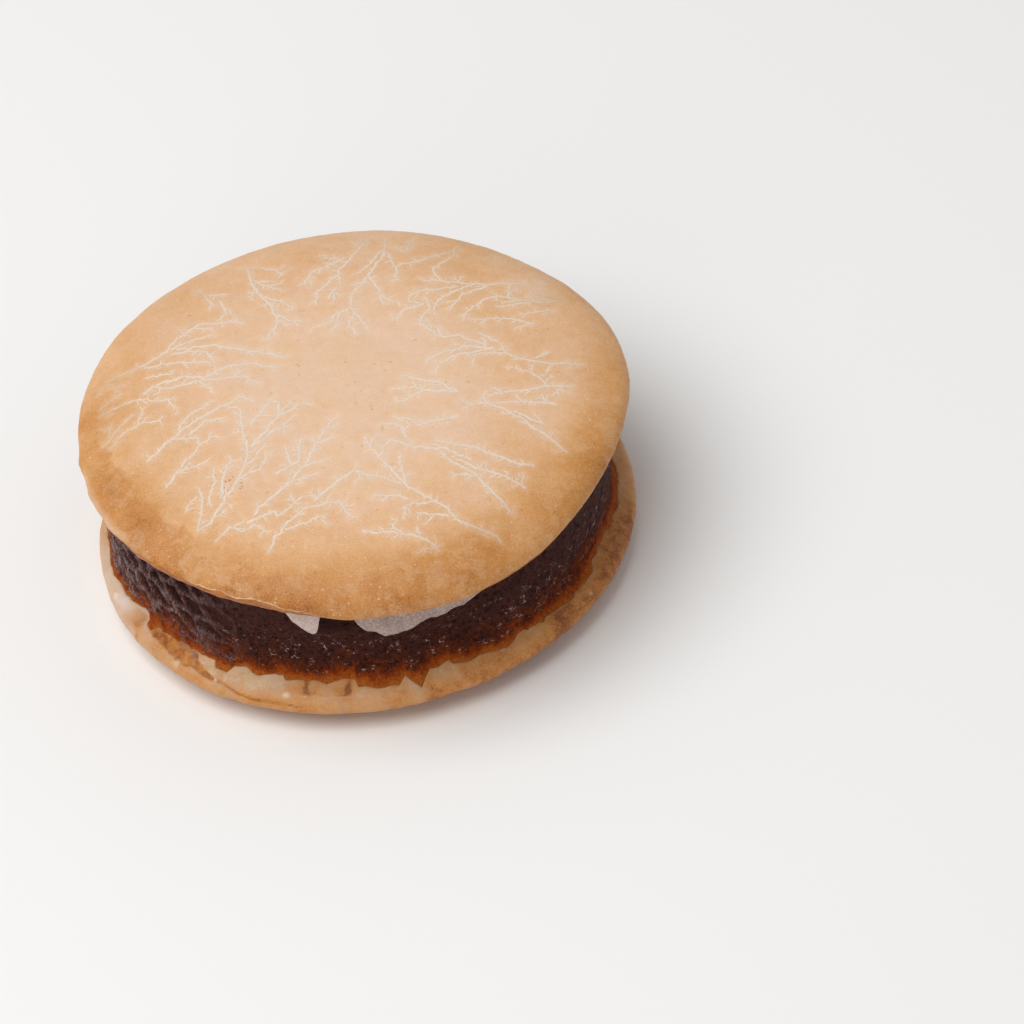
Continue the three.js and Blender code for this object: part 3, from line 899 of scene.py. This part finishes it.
class FernField:
    """Crystals grow over the top without crossing: each new point keeps clear of the others."""

    CELL = 0.6

    def __init__(self, seed):
        self.random = np.random.default_rng(seed)
        self.cells = {}
        self.strokes = []

    def add(self, points, root_width, tip_width):
        for point in points:
            self.cells.setdefault(self.cell(point), []).append(point)
        self.strokes.append((np.array(points), root_width, tip_width))

    def cell(self, point):
        return int(point[0] // self.CELL), int(point[1] // self.CELL)

    def crowded(self, point, clearance):
        column, row = self.cell(point)
        for i, j in product((-1, 0, 1), repeat=2):
            for other in self.cells.get((column + i, row + j), ()):
                if math.dist(point, other) < clearance:
                    return True
        return False

    def grow(self, start, heading, length, wander=0.16):
        """A wandering line from a point, which stops where it would touch another."""
        points, bearing = [tuple(start)], heading
        for count in range(int(length / FERN_STEP)):
            bearing += self.random.normal(0, wander) + 0.12 * (heading - bearing)
            x = points[-1][0] + FERN_STEP * math.cos(bearing)
            y = points[-1][1] + FERN_STEP * math.sin(bearing)
            clearance = min(0.42, 0.12 + 0.5 * FERN_STEP * count)
            if count > 0 and self.crowded((x, y), clearance):
                break
            if math.dist((x, y), BARE_CENTRE) < BARE_MIDDLE or math.hypot(x, y) > BARE_RIM:
                break
            points.append((x, y))
        return points

    def bristle(self, stroke, width):
        """Short spikes along a stroke, like hoarfrost."""
        points, side = stroke[0], 1
        for here, after in zip(points[:-1], points[1:]):
            side = -side if self.random.random() < 0.6 else side
            if self.random.random() > 0.42:
                continue
            heading = math.atan2(*(after - here)[::-1]) + side * math.radians(self.random.uniform(30, 62))
            reach = self.random.uniform(0.28, 0.65)
            tip = here + reach * np.array((math.cos(heading), math.sin(heading)))
            if not self.crowded(tip, 0.24):
                bend = here + 0.5 * (tip - here) + self.random.normal(0, 0.05, 2)
                self.add([tuple(here), tuple(bend), tuple(tip)], width, 0.5 * width)

    def branch(self, stroke, spacing, longest, width, level):
        """Side lines along a stroke, at an acute angle to the way it grows."""
        points, side = stroke[0], self.random.choice((-1, 1))
        travelled, due = 0.0, self.random.uniform(0.3, spacing)
        made = []
        for here, after in zip(points[:-1], points[1:]):
            travelled += math.dist(here, after)
            if travelled < due:
                continue
            due = travelled + self.random.uniform(0.4, 1.6) * spacing
            side = -side if self.random.random() < 0.7 else side
            heading = math.atan2(*(after - here)[::-1])
            lean = side * math.radians(self.random.uniform(24, 48))
            length = longest * self.random.uniform(0.12, 1.0) ** 2 + 0.35
            line = self.grow(here, heading + lean, length)
            if len(line) > 2:
                self.add(line[1:], width, 0.5 * width)
                self.strokes[-1][0][0] = here
                made.append(self.strokes[-1])
        if level > 1:
            for child in made:
                self.branch(child, spacing * 0.8, longest * 0.4, width * 0.8, level - 1)


def sideways(line):
    """Unit steps to the left of a line, at each of its points."""
    ahead = np.gradient(line, axis=0)
    ahead /= np.maximum(np.linalg.norm(ahead, axis=1), 1e-9)[:, None]
    return np.stack([-ahead[:, 1], ahead[:, 0]], axis=1)


def wiggled(stem, random):
    """A stem through its listed points, with the small kinks of a crystal."""
    path = path_along(*stem.T)
    along = np.linspace(0, path[-1], max(3, int(path[-1] / FERN_STEP)))
    line = np.stack([np.interp(along, path, side) for side in stem.T], axis=1)
    spot = np.stack([along, np.full(len(along), random.uniform(0, 100)), np.zeros(len(along))], axis=1)
    sway = 0.30 * lattice_noise(spot / 1.9, 51) + 0.2 * lattice_noise(spot / 0.65, 52)
    sway *= np.clip(along, 0, 1) * np.clip((path[-1] - along) / 0.8, 0.2, 1)
    return line + sideways(line) * sway[:, None]


def grow_ferns():
    field = FernField(seed=5)
    for numbers in FERN_STEMS:
        stem = np.array(numbers, float).reshape(-1, 2)
        long = math.dist(stem[0], stem[-1]) > 7
        field.add(wiggled(stem, field.random).tolist(), 0.62 if long else 0.5, 0.34)
    for degrees in HIDDEN_STEMS:
        radius, angle = field.random.uniform(25, 30), math.radians(degrees)
        inward = math.radians(degrees + 180 + field.random.uniform(-16, 16))
        start = (radius * math.cos(angle), radius * math.sin(angle))
        line = field.grow(start, inward, field.random.uniform(11, 17), wander=0.1)
        if len(line) > 3:
            field.add(line, 0.6, 0.34)
    for stroke in list(field.strokes):
        hidden = stroke[0][:, 0].min() > 14 and -24 < stroke[0][:, 1].mean() < 4
        field.branch(stroke, 2.2 if hidden else 2.0, 7.5 if hidden else 3.0, 0.42, 2)
    for stroke in list(field.strokes):
        field.branch(stroke, 0.42, 1.0, 0.34, 1)
    for stroke in list(field.strokes):
        field.bristle(stroke, 0.3)
    return field.strokes


def build_ferns(strokes, surface, material):
    """Low ridges of sugar, each a closed strip that is white along its middle and fades at its edges."""
    points, faces = [], []
    for line, root_width, tip_width in strokes:
        count, start = len(line), len(points)
        knots = 1 + 0.35 * lattice_noise(np.column_stack([line, np.zeros(count)]) / 0.8, 53)
        half = np.linspace(root_width, tip_width, count) * 0.6 * knots
        from_end = np.minimum(np.arange(count) + 1, count - np.arange(count))
        lift = 0.022 * np.clip(from_end / 3, 0, 1)
        for k, across in enumerate(sideways(line)):
            for offset, height in ((-half[k], -0.01), (0, lift[k]), (half[k], -0.01), (0, -0.06)):
                hit = surface.ray_cast(Vector((*(line[k] + across * offset), 60)), Vector((0, 0, -1)))
                points.append(hit[0] + hit[1] * height)
        faces += row_faces(count, 4, start, upward=False)
        faces += [range(start, start + 4), range(len(points) - 1, len(points) - 5, -1)]
    points = np.array([tuple(p) for p in points])
    mesh = make_mesh("sugar_ferns", points, faces)
    mesh.set_sharp_from_angle(angle=math.radians(70))
    fade = 1 - 0.6 * smoothstep(polar(points)[1], 24, 31)
    paint(mesh, bake=browning(points), frost=fade * np.tile([0, 1, 0, 1], len(points) // 4))
    return piece("sugar_ferns", mesh, material)


def frost_near(points, strokes, reach=0.65):
    """A faint white halo round the ferns, from 0 to 1."""
    spots = np.concatenate([line for line, *_ in strokes])
    tree = KDTree(len(spots))
    for index, (x, y) in enumerate(spots):
        tree.insert((x, y, 0), index)
    tree.balance()
    halo = np.zeros(len(points))
    for index in np.flatnonzero(points[:, 2] > 20.5):
        distance = tree.find((*points[index, :2], 0))[2]
        halo[index] = max(0.0, 1 - distance / reach)
    return halo


# Bottom biscuit and its film of glaze --------------------------------------------------------

BOTTOM_STEPS = 1100
FILM_STEPS = 1600
FILM_THICKNESS = 0.22


def build_bottom(material):
    angles = ring_angles(BOTTOM_STEPS)
    under = [at(np.full(BOTTOM_STEPS, r), angles, np.zeros(BOTTOM_STEPS)) for r in np.linspace(1.2, 19.2, 16)]
    side = BOTTOM.walk(angles, np.full(BOTTOM_STEPS, 26.6), np.arange(0, 60) * 0.4)
    keep = np.hypot(side[:, :, 0], side[:, :, 1]).min(axis=1) > BOTTOM.flat_radius + 0.05
    points, faces = ring_body(np.concatenate([np.array(under), side[keep][::-1]]))
    mesh = make_mesh("bottom_biscuit_baked", points, faces)
    height = points[:, 2]
    pits = 0.12 * smoothstep(lattice_noise(points / 0.9, 64), 0.4, 0.7)
    relief = 0.07 * roughness_of(points, 2.4, 61, 3) - pits
    emboss(mesh, np.where(height < 0.4, -abs(relief), relief))
    set_points(mesh, np.maximum(points_of(mesh), (-np.inf, -np.inf, 0)))
    stain = smoothstep(polar(points)[1], 33.2, 32.3) * (height > BOTTOM.rim_height)
    bake = 0.35 + 0.3 * roughness_of(points, 9.0, 66) + 0.15 * (height < 1)
    paint(mesh, bake=bake, stain=stain)
    return piece("bottom_biscuit_baked", mesh, material, "bottom_biscuit")


def smears(points):
    """Where milky glaze lies thicker in small uneven smears, from 0 to 1."""
    random = np.random.default_rng(79)
    ranges = ((-50, 175), (2.5, 4.8), (0.2, 0.4))
    drawn = [[random.uniform(*limits) for limits in ranges] for _ in range(SMEAR_DRAWS)]
    uneven = 1 + 0.5 * roughness_of(points, 0.9, 80, 2)
    share = np.zeros(len(points))
    for degrees, height, size in (*FILM_SMEARS, *drawn):
        centre = at(33.0, math.radians(degrees), height)
        off = np.linalg.norm((points - centre) * (1, 1, 1.3), axis=1)
        share = np.maximum(share, 1 - smoothstep(off / (size * uneven), 0.45, 1.15))
    return share


def split_share(angles, side, distances):
    """How far the film is split, for each distance down the biscuit's side and each angle."""
    split_angle, split_height, split_width = np.array(FILM_SPLIT).T
    degrees = degrees_of(angles)
    height = np.interp(degrees, split_angle, split_height) + 0.08 * broken_line(angles, 1.2, 72)
    width = np.interp(degrees, split_angle, split_width) * (1 + 0.35 * round_noise(angles, 1.5, 74))
    middle = [np.interp(-height[k], -side[:, k, 2], distances) for k in range(len(angles))]
    return (width > 0.03) * (1 - smoothstep(abs(distances[:, None] - middle) - width, -0.08, 0.1))


def build_film(material):
    """A film over the bottom biscuit's side, from a broken edge near the jam down to the table."""
    angles = ring_angles(FILM_STEPS)
    edges = film_edge(angles)
    outer = np.concatenate([[0, 0.06, 0.14, 0.26, 0.42], np.arange(0.6, 4.3, 0.19), np.arange(4.5, 9.6, 0.5)])
    inner = outer[::-4]
    thickness = FILM_THICKNESS * (1 + 0.45 * round_noise(angles, 3.0, 71))
    rounding = np.sqrt(1 - (1 - np.clip(outer / 0.4, 0, 1)) ** 2)
    thinning = 1 - 0.75 * smoothstep(outer, 2.5, 7.5)
    split = split_share(angles, BOTTOM.walk(angles, edges, outer), outer)
    over = np.outer(rounding * thinning, thickness) * (1 - 0.7 * split)
    below = np.full((len(inner), FILM_STEPS), -0.16)
    rows = BOTTOM.walk(angles, edges, np.concatenate([outer, inner]), np.concatenate([over, below]))
    rows[:, :, 2] = np.maximum(rows[:, :, 2], 0.02)
    mesh = tube("glaze_film", rows)
    points = rows.reshape(-1, 3)
    smear = smears(points)
    relief = 0.05 * roughness_of(points, 1.8, 73, 3) + 0.12 * roughness_of(points, 5.0, 76, 2) + 0.1 * smear
    outside = np.arange(len(points)) < len(outer) * FILM_STEPS
    emboss(mesh, relief * outside * smoothstep(points[:, 2], 0.2, 0.8))

    from_edge = np.repeat(np.concatenate([outer, inner]), FILM_STEPS)
    turn = degrees_of(polar(points)[0])
    wobble = 0.7 * roughness_of(points, 1.3, 86, 2)
    right = between(turn, 268, 300, 345, 358)
    left = between(turn, 174, 184, 206, 218)
    degrees = degrees_of(angles)
    plate = 0.8 * smoothstep(round_noise(angles, 14.0, 78), 0.1, 0.4) * ((degrees < 150) | (degrees > 325))
    for first, final, share in PALE_PLATES:
        plate += share * between(degrees, first - 1, first + 1, final - 1, final + 1)
    plate = np.tile(plate, len(rows)) * (1 - smoothstep(from_edge, 1.4, 3.2))
    stain = np.concatenate([split.ravel(), np.zeros(len(inner) * FILM_STEPS)])
    stain = np.clip(stain * (1.1 + 0.8 * roughness_of(points, 1.5, 77)), 0, 1)
    above_step = points[:, 2] - THIN_STEP_HEIGHT + 0.05 * roughness_of(points, 1.4, 83, 2)
    window = between(turn, THIN_START - 1, THIN_START + 1, THIN_END, THIN_END + 3)
    broken = np.clip(0.4 + roughness_of(points, 1.0, 85, 2), 0, 1)
    step_line = 0.3 * window * broken * hump(above_step, 0, 0.04)
    tanned = hump(turn, *TANNED_PATCH) * between(from_edge, 0.2, 0.8, 2.2, 3.2)

    # On the right the film is browner: partly its own tone, partly painted shadow, as cast there by the
    # alfajor's other half.
    bake = 0.38 + 0.12 * smoothstep(from_edge, 0.25, 2.2) + 0.36 * right - 0.4 * plate - 0.26 * left
    bake += (0.32 - 0.16 * right) * roughness_of(points, 7.0, 75)
    bake += 0.14 * window * smoothstep(above_step, 0.0, 0.08) + 0.5 * tanned
    for drip, brown in FILM_DRIPS:
        bake += brown * hump(turn + wobble, drip, 0.7) * smoothstep(above_step, -0.05, 0.25)
    smoke = np.zeros(len(points))
    for middle, half, dark in SMOKY_PLATES:
        smoke += dark * np.exp(-(((turn - middle + wobble) / half) ** 4))
    smoke *= 1 - smoothstep(from_edge + wobble, 0.9, 1.3)
    milky = hump(turn, 199, 3.6) * between(from_edge, 0.1, 0.5, 1.2, 2.2)
    lilac = np.maximum(0.95 * milky, 0.32 * left * (1 - tanned) * (1 - stain))
    # Painted highlight: a thin pale line, in places, along the film's broken edge.
    edge_highlight = hump(from_edge, 0, 0.3) * np.clip(0.4 + roughness_of(points, 1.3, 82, 2), 0, 1) * outside
    pale = np.maximum.reduce([0.55 * smear, 0.6 * edge_highlight, step_line])
    paint(mesh, bake=bake, stain=stain, pale=pale, lilac=lilac, smoke=smoke)
    return piece("glaze_film", mesh, material)


# Jam -----------------------------------------------------------------------------------------

JAM_STEPS = 1300
SKIRT_HEIGHT = 0.87
FILLET_HEIGHT, FRONT_FILLET = 0.9, 2.4


def wrinkle_share(angle):
    """Where the jam has dried into a net of wrinkles, from 0 to 1: on the left and in places behind."""
    degrees = degrees_of(angle)
    left = between(degrees, 150, 180, 216, 244)
    behind = smoothstep(round_noise(angle, 22.0, 81), 0.0, 0.4) * between(degrees, 4, 22, 120, 160)
    return np.maximum(left, 0.8 * behind)


def wrinkle_net(points, width, height, lean, seed):
    """Distance from the ridges between long cells that lean with the height, in cells."""
    columns = round(2 * math.pi * 31 / width)
    angle = polar(points)[0] % (2 * np.pi)
    sway = 0.45 * roughness_of(points, 2.2, seed, 3)
    across = angle / (2 * np.pi) * columns + lean * points[:, 2] / width + sway
    up = points[:, 2] / height + 0.4 * roughness_of(points, 2.2, seed + 4, 3)
    return cell_borders(across, up, columns, seed)


def jam_rows():
    """Rings of the jam from its bed over the skirt and the wall to its roof, and how far each of their
    points lies from the skirt's tip."""
    angles = ring_angles(JAM_STEPS)
    rim = BOTTOM.outline(angles) - 0.45
    tip = np.minimum(np.maximum(film_edge(angles) + 0.05, jam_wall(angles, 0.0) + 0.15), rim)

    def bed(radius):
        return BOTTOM.crown(*BOTTOM.own(angles, radius)) + CONTACT_GAP

    usual_tip = np.minimum(tip, np.mean([np.roll(tip, shift) for shift in range(-12, 13, 3)], axis=0))
    floor = bed(jam_wall(angles, 0.0)) - CONTACT_GAP + SKIRT_HEIGHT
    roof = TOP.chin_over(angles, jam_wall(angles, 1.0)) - 0.05
    fillet = FILLET_HEIGHT + FRONT_FILLET * front_hollow(angles)
    blend = fillet / (roof - floor)
    foot = jam_wall(angles, blend)
    rows, from_tip = [], []

    def ring(radius, height, distance):
        rows.append(at(radius, angles, height))
        from_tip.append(distance + np.zeros(JAM_STEPS))

    for radius in (15.0, 26.0):
        flat = np.full(JAM_STEPS, radius)
        ring(flat, bed(flat), 0)
    ring(tip + 0.25, bed(tip + 0.25) - CONTACT_GAP - 0.08, 0)
    for turn in np.linspace(0, math.pi / 2, 15)[:-1]:
        radius = tip + (foot - tip) * math.sin(turn) ** 0.9
        low = bed(radius) - CONTACT_GAP + 0.1
        height = low + (floor + fillet - low) * (1 - math.cos(turn)) ** 1.25
        ring(radius, height, usual_tip - radius + height - low)
    for share in np.linspace(0, 1, 46):
        whole = blend + (1 - blend) * share
        height = floor + (roof - floor) * whole
        ring(jam_wall(angles, whole), height, usual_tip - foot + height - floor)
    for radius in (28.4, 24.0, 12.0):
        flat = np.full(JAM_STEPS, radius)
        ring(flat, TOP.chin_over(angles, flat) - CONTACT_GAP, 12.0)
    return np.array(rows), np.concatenate([*from_tip, [0, 12]])


def build_jam(material):
    rows, from_tip = jam_rows()
    points, faces = ring_body(rows)
    mesh = make_mesh("jam_wrinkled", points, faces)

    angle, out = polar(points)
    degrees, height = degrees_of(angle), points[:, 2]
    patchy = 1 + 0.45 * roughness_of(points, 4.0, 84, 2) + 0.7 * roughness_of(points, 0.9, 82, 3)
    amber_reach = read_off(AMBER_REACH, degrees)
    dried = wrinkle_share(angle)
    wet_part = 1 - dried
    amber = np.clip(1 - from_tip / np.maximum(amber_reach * patchy, 0.25), 0, 1) ** 0.75
    red = np.clip(1 - from_tip / np.maximum((amber_reach + 3.0 + 1.5 * dried) * patchy, 0.8), 0, 1)
    coarse = wrinkle_net(points, 2.6, 3.2, 0.65, 85)
    threads = 1 - smoothstep(wrinkle_net(points, 0.75, 1.5, 0.6, 95), 0.0, 0.32)
    worn = np.clip(0.85 + 0.7 * roughness_of(points, 3.0, 97, 2), 0.2, 1)
    ridges = worn * (1 - smoothstep(coarse, 0.08, 0.34))
    basins = smoothstep(coarse, 0.18, 0.5)
    low = 1 - smoothstep(from_tip, 3.5, 7.5)
    thin = 0.54 * amber + 0.43 * red * (1 - 0.4 * dried) + 0.2 * basins * dried * low
    pit = smoothstep(roughness_of(points / (1.2, 1.2, 0.75), 1.0, 93, 3), 0.26, 0.6)

    relief = 0.2 * roughness_of(points, 3.2, 87, 3)
    relief += 0.17 * roughness_of(points, 0.8, 91, 3, 0.65) * (0.4 + 0.6 * wet_part)
    relief += dried * (0.26 * ridges - 0.4 * basins + 0.1 * threads) - 0.34 * pit * (0.3 + 0.7 * wet_part)
    relief += 0.6 * between(degrees, 164, 176, 196, 212) * smoothstep(from_tip, 0.3, 1.6)
    shown = (height > 4) * (np.arange(len(points)) >= 3 * JAM_STEPS) * (out > 28.45)
    brim_fade = 1 - 0.7 * smoothstep(height, 17.4, 18.8)
    skirt_fade = 1 - 0.7 * smoothstep(thin, 0.45, 0.8)
    emboss(mesh, relief * shown * brim_fade * skirt_fade)

    # Painted sheen on the ridges of the dried wrinkles, fading where the jam thins and a little past 200
    # degrees.
    bloom = (ridges * (0.55 + 0.45 * threads) + 0.08 * threads) * dried * (1 - smoothstep(thin, 0.3, 0.62))
    bloom *= np.interp(degrees, (199, 205), (1.0, 0.78))
    # Painted shadow in the recess under the top biscuit, between the two front tongues.
    recess_shadow = between(degrees, 256, 259, 264, 267) * smoothstep(height, 13.6, 14.8)
    # Painted shade in the hollows between the wrinkles and in the pits, less where the jam is thin.
    deep = np.maximum(basins * dried, 0.45 * pit * wet_part) * (1 - smoothstep(thin, 0.15, 0.45))
    # Where the wet jam gets painted glints and a glossy coat: low on the wall, away from the dried part.
    wet = between(from_tip, 0.8, 1.6, 5.0, 8.5) * wet_part
    paint(mesh, thin=thin, bloom=np.clip(bloom, 0, 1), deep=0.92 * np.maximum(deep, recess_shadow), wet=wet)
    return piece("jam_wrinkled", mesh, material, "jam_filling")


# Hanging glaze and crumbs --------------------------------------------------------------------

CURTAIN_STEPS = 1300
CURTAIN_ROOT = 0.22
CRUMB_TRIES = 26


def build_curtain(material):
    """The glaze's thin edge right round the top biscuit's chin, with the tongues that hang from it."""
    angles = ring_angles(CURTAIN_STEPS)
    depth = curtain_depth(angles)
    radius = TONGUE_RADIUS + 0.12 * round_noise(angles, 5.0, 102)
    root = TOP.chin_over(angles, radius) + CURTAIN_ROOT
    outer, inner = [], []
    for share in np.linspace(0, 1, 20):
        height = root - share * (depth + CURTAIN_ROOT)
        thick = TONGUE_THICKNESS * math.sqrt(1 - 0.9 * share**4)
        rough = roughness_of(at(radius, angles, height), 2.2, 103, 2)
        middle = radius + 0.2 * rough * np.clip(root - height, 0, 2) / 2
        outer.append(at(middle + thick / 2, angles, height))
        inner.append(at(middle - thick / 2, angles, height))
    rows = np.array(outer + inner[::-1])
    mesh = tube("glaze_curtain", rows)
    emboss(mesh, 0.035 * roughness_of(rows.reshape(-1, 3), 0.8, 105, 2))
    hang = np.tile(smoothstep(depth, 0.3, 0.7), len(rows))
    milk = 0.56 + 0.32 * (abs(np.degrees(angles) - 255) < 6)
    paint(mesh, hang=hang, milk=np.tile(milk, len(rows)))
    return piece("glaze_curtain", mesh, material)


def lump(random, size, flatness):
    """Points and faces of a small uneven lump about the origin."""
    squash = size * random.uniform(0.7, 1.3, 3) * (1, 1, flatness)
    lobes = random.uniform(0, 2 * math.pi, 3)
    angle, turn = np.meshgrid(ring_angles(12), math.pi / 6 * np.arange(1, 6))
    reach = 1 + 0.16 * np.sin(2 * angle + lobes[0]) + 0.12 * np.sin(3 * angle + lobes[1])
    reach *= 1 + 0.08 * np.sin(5 * angle + lobes[2]) + random.uniform(-0.04, 0.04, angle.shape)
    points, faces = ring_body(at(reach * np.sin(turn), angle, -reach * np.cos(turn)))
    points[-2:, 2] = -1, 1
    return points * squash, faces


def build_crumbs(surfaces, material):
    """Loose crumbs of biscuit where the jam's skirt meets the film, and a few elsewhere. Each lies
    where a level line towards the axis meets a surface."""
    random, spots = np.random.default_rng(7), []
    for _ in range(CRUMB_TRIES):
        surface = surfaces[int(random.integers(len(surfaces)))]
        angle, height = math.radians(random.uniform(0, 360)), random.uniform(4.4, 7.2)
        inward = Vector((-math.cos(angle), -math.sin(angle), 0))
        place, normal, *_ = surface.ray_cast(Vector((0, 0, height)) - 45 * inward, inward)
        if place is not None:
            spots.append((place, normal, random.uniform(0.06, 0.15)))
    random = np.random.default_rng(len(spots))
    points, faces = [], []
    for place, normal, size in spots:
        shape, sides = lump(random, size, 0.8)
        turn = normal.to_track_quat("Z", "Y").to_matrix()
        faces += [[len(points) + corner for corner in side] for side in sides]
        points += [tuple(place + turn @ Vector(point)) for point in shape]
    mesh = make_mesh("loose_crumbs", points, faces)
    paint(mesh, bake=np.full(len(points), 0.5))
    return piece("loose_crumbs", mesh, material)


# Stage ---------------------------------------------------------------------------------------

ELEVATION = math.radians(43.942)
ROLL = math.radians(-7.5)
LENS, SENSOR = 184.03, 36.0
CAMERA_DISTANCE = 0.650
TARGET = Vector((0.0181534, -0.0050876, 0.0057210))


def build_camera():
    back = Vector((0, -math.cos(ELEVATION), math.sin(ELEVATION)))
    right, up = Vector((1, 0, 0)), Vector((0, math.sin(ELEVATION), math.cos(ELEVATION)))
    across = math.cos(ROLL) * right + math.sin(ROLL) * up
    upward = math.cos(ROLL) * up - math.sin(ROLL) * right
    camera = bpy.data.objects.new("camera", bpy.data.cameras.new("camera"))
    camera.data.lens, camera.data.sensor_width = LENS, SENSOR
    camera.data.clip_start, camera.data.clip_end = 0.01, 10
    place = TARGET + back * CAMERA_DISTANCE
    camera.matrix_world = Matrix.Translation(place) @ Matrix((across, upward, back)).transposed().to_4x4()
    bpy.context.scene.collection.objects.link(camera)
    bpy.context.scene.camera = camera


def build_floor():
    mesh = bpy.data.meshes.new("floor")
    mesh.from_pydata([(-2, -2, 0), (2, -2, 0), (2, 2, 0), (-2, 2, 0)], [], [(0, 1, 2, 3)])
    floor = bpy.data.objects.new("floor", mesh)
    values = {"Base Color": (0.95, 0.95, 0.95, 1), "Roughness": 0.9, "Specular IOR Level": 0.1}
    mesh.materials.append(Finish("floor", values).material)
    bpy.context.scene.collection.objects.link(floor)


def add_light(name, place, size, power, colour=(1, 1, 1)):
    lamp = bpy.data.lights.new(name, "AREA")
    lamp.shape, lamp.size, lamp.energy, lamp.color = "DISK", size, power, colour
    thing = bpy.data.objects.new(name, lamp)
    thing.location = place
    thing.rotation_euler = (-Vector(place)).to_track_quat("-Z", "Y").to_euler()
    bpy.context.scene.collection.objects.link(thing)


def build_lights():
    add_light("key", (-0.34, -0.1, 0.76), 0.9, 5.4, (1.0, 0.985, 0.96))
    add_light("front", (-0.3, -0.8, 0.3), 0.4, 0.5)
    world = bpy.data.worlds.new("world")
    world.use_nodes = True
    background = world.node_tree.nodes["Background"]
    background.inputs["Color"].default_value = (1, 1, 1, 1)
    background.inputs["Strength"].default_value = 0.38
    bpy.context.scene.world = world
    bpy.context.scene.view_settings.view_transform = "Standard"


def build():
    glazed, bare = glazed_finish(), crumb_finish()
    top = build_top(glazed)
    strokes = grow_ferns()
    build_ferns(strokes, surface_of(top.data), glazed)
    paint(top.data, frost=0.2 * frost_near(points_of(top.data), strokes))
    build_bottom(bare)
    film = build_film(film_finish())
    jam = build_jam(jam_finish())
    build_curtain(curtain_finish())
    build_crumbs((surface_of(film.data), surface_of(jam.data)), bare)


build_camera()
build_floor()
build_lights()
build()
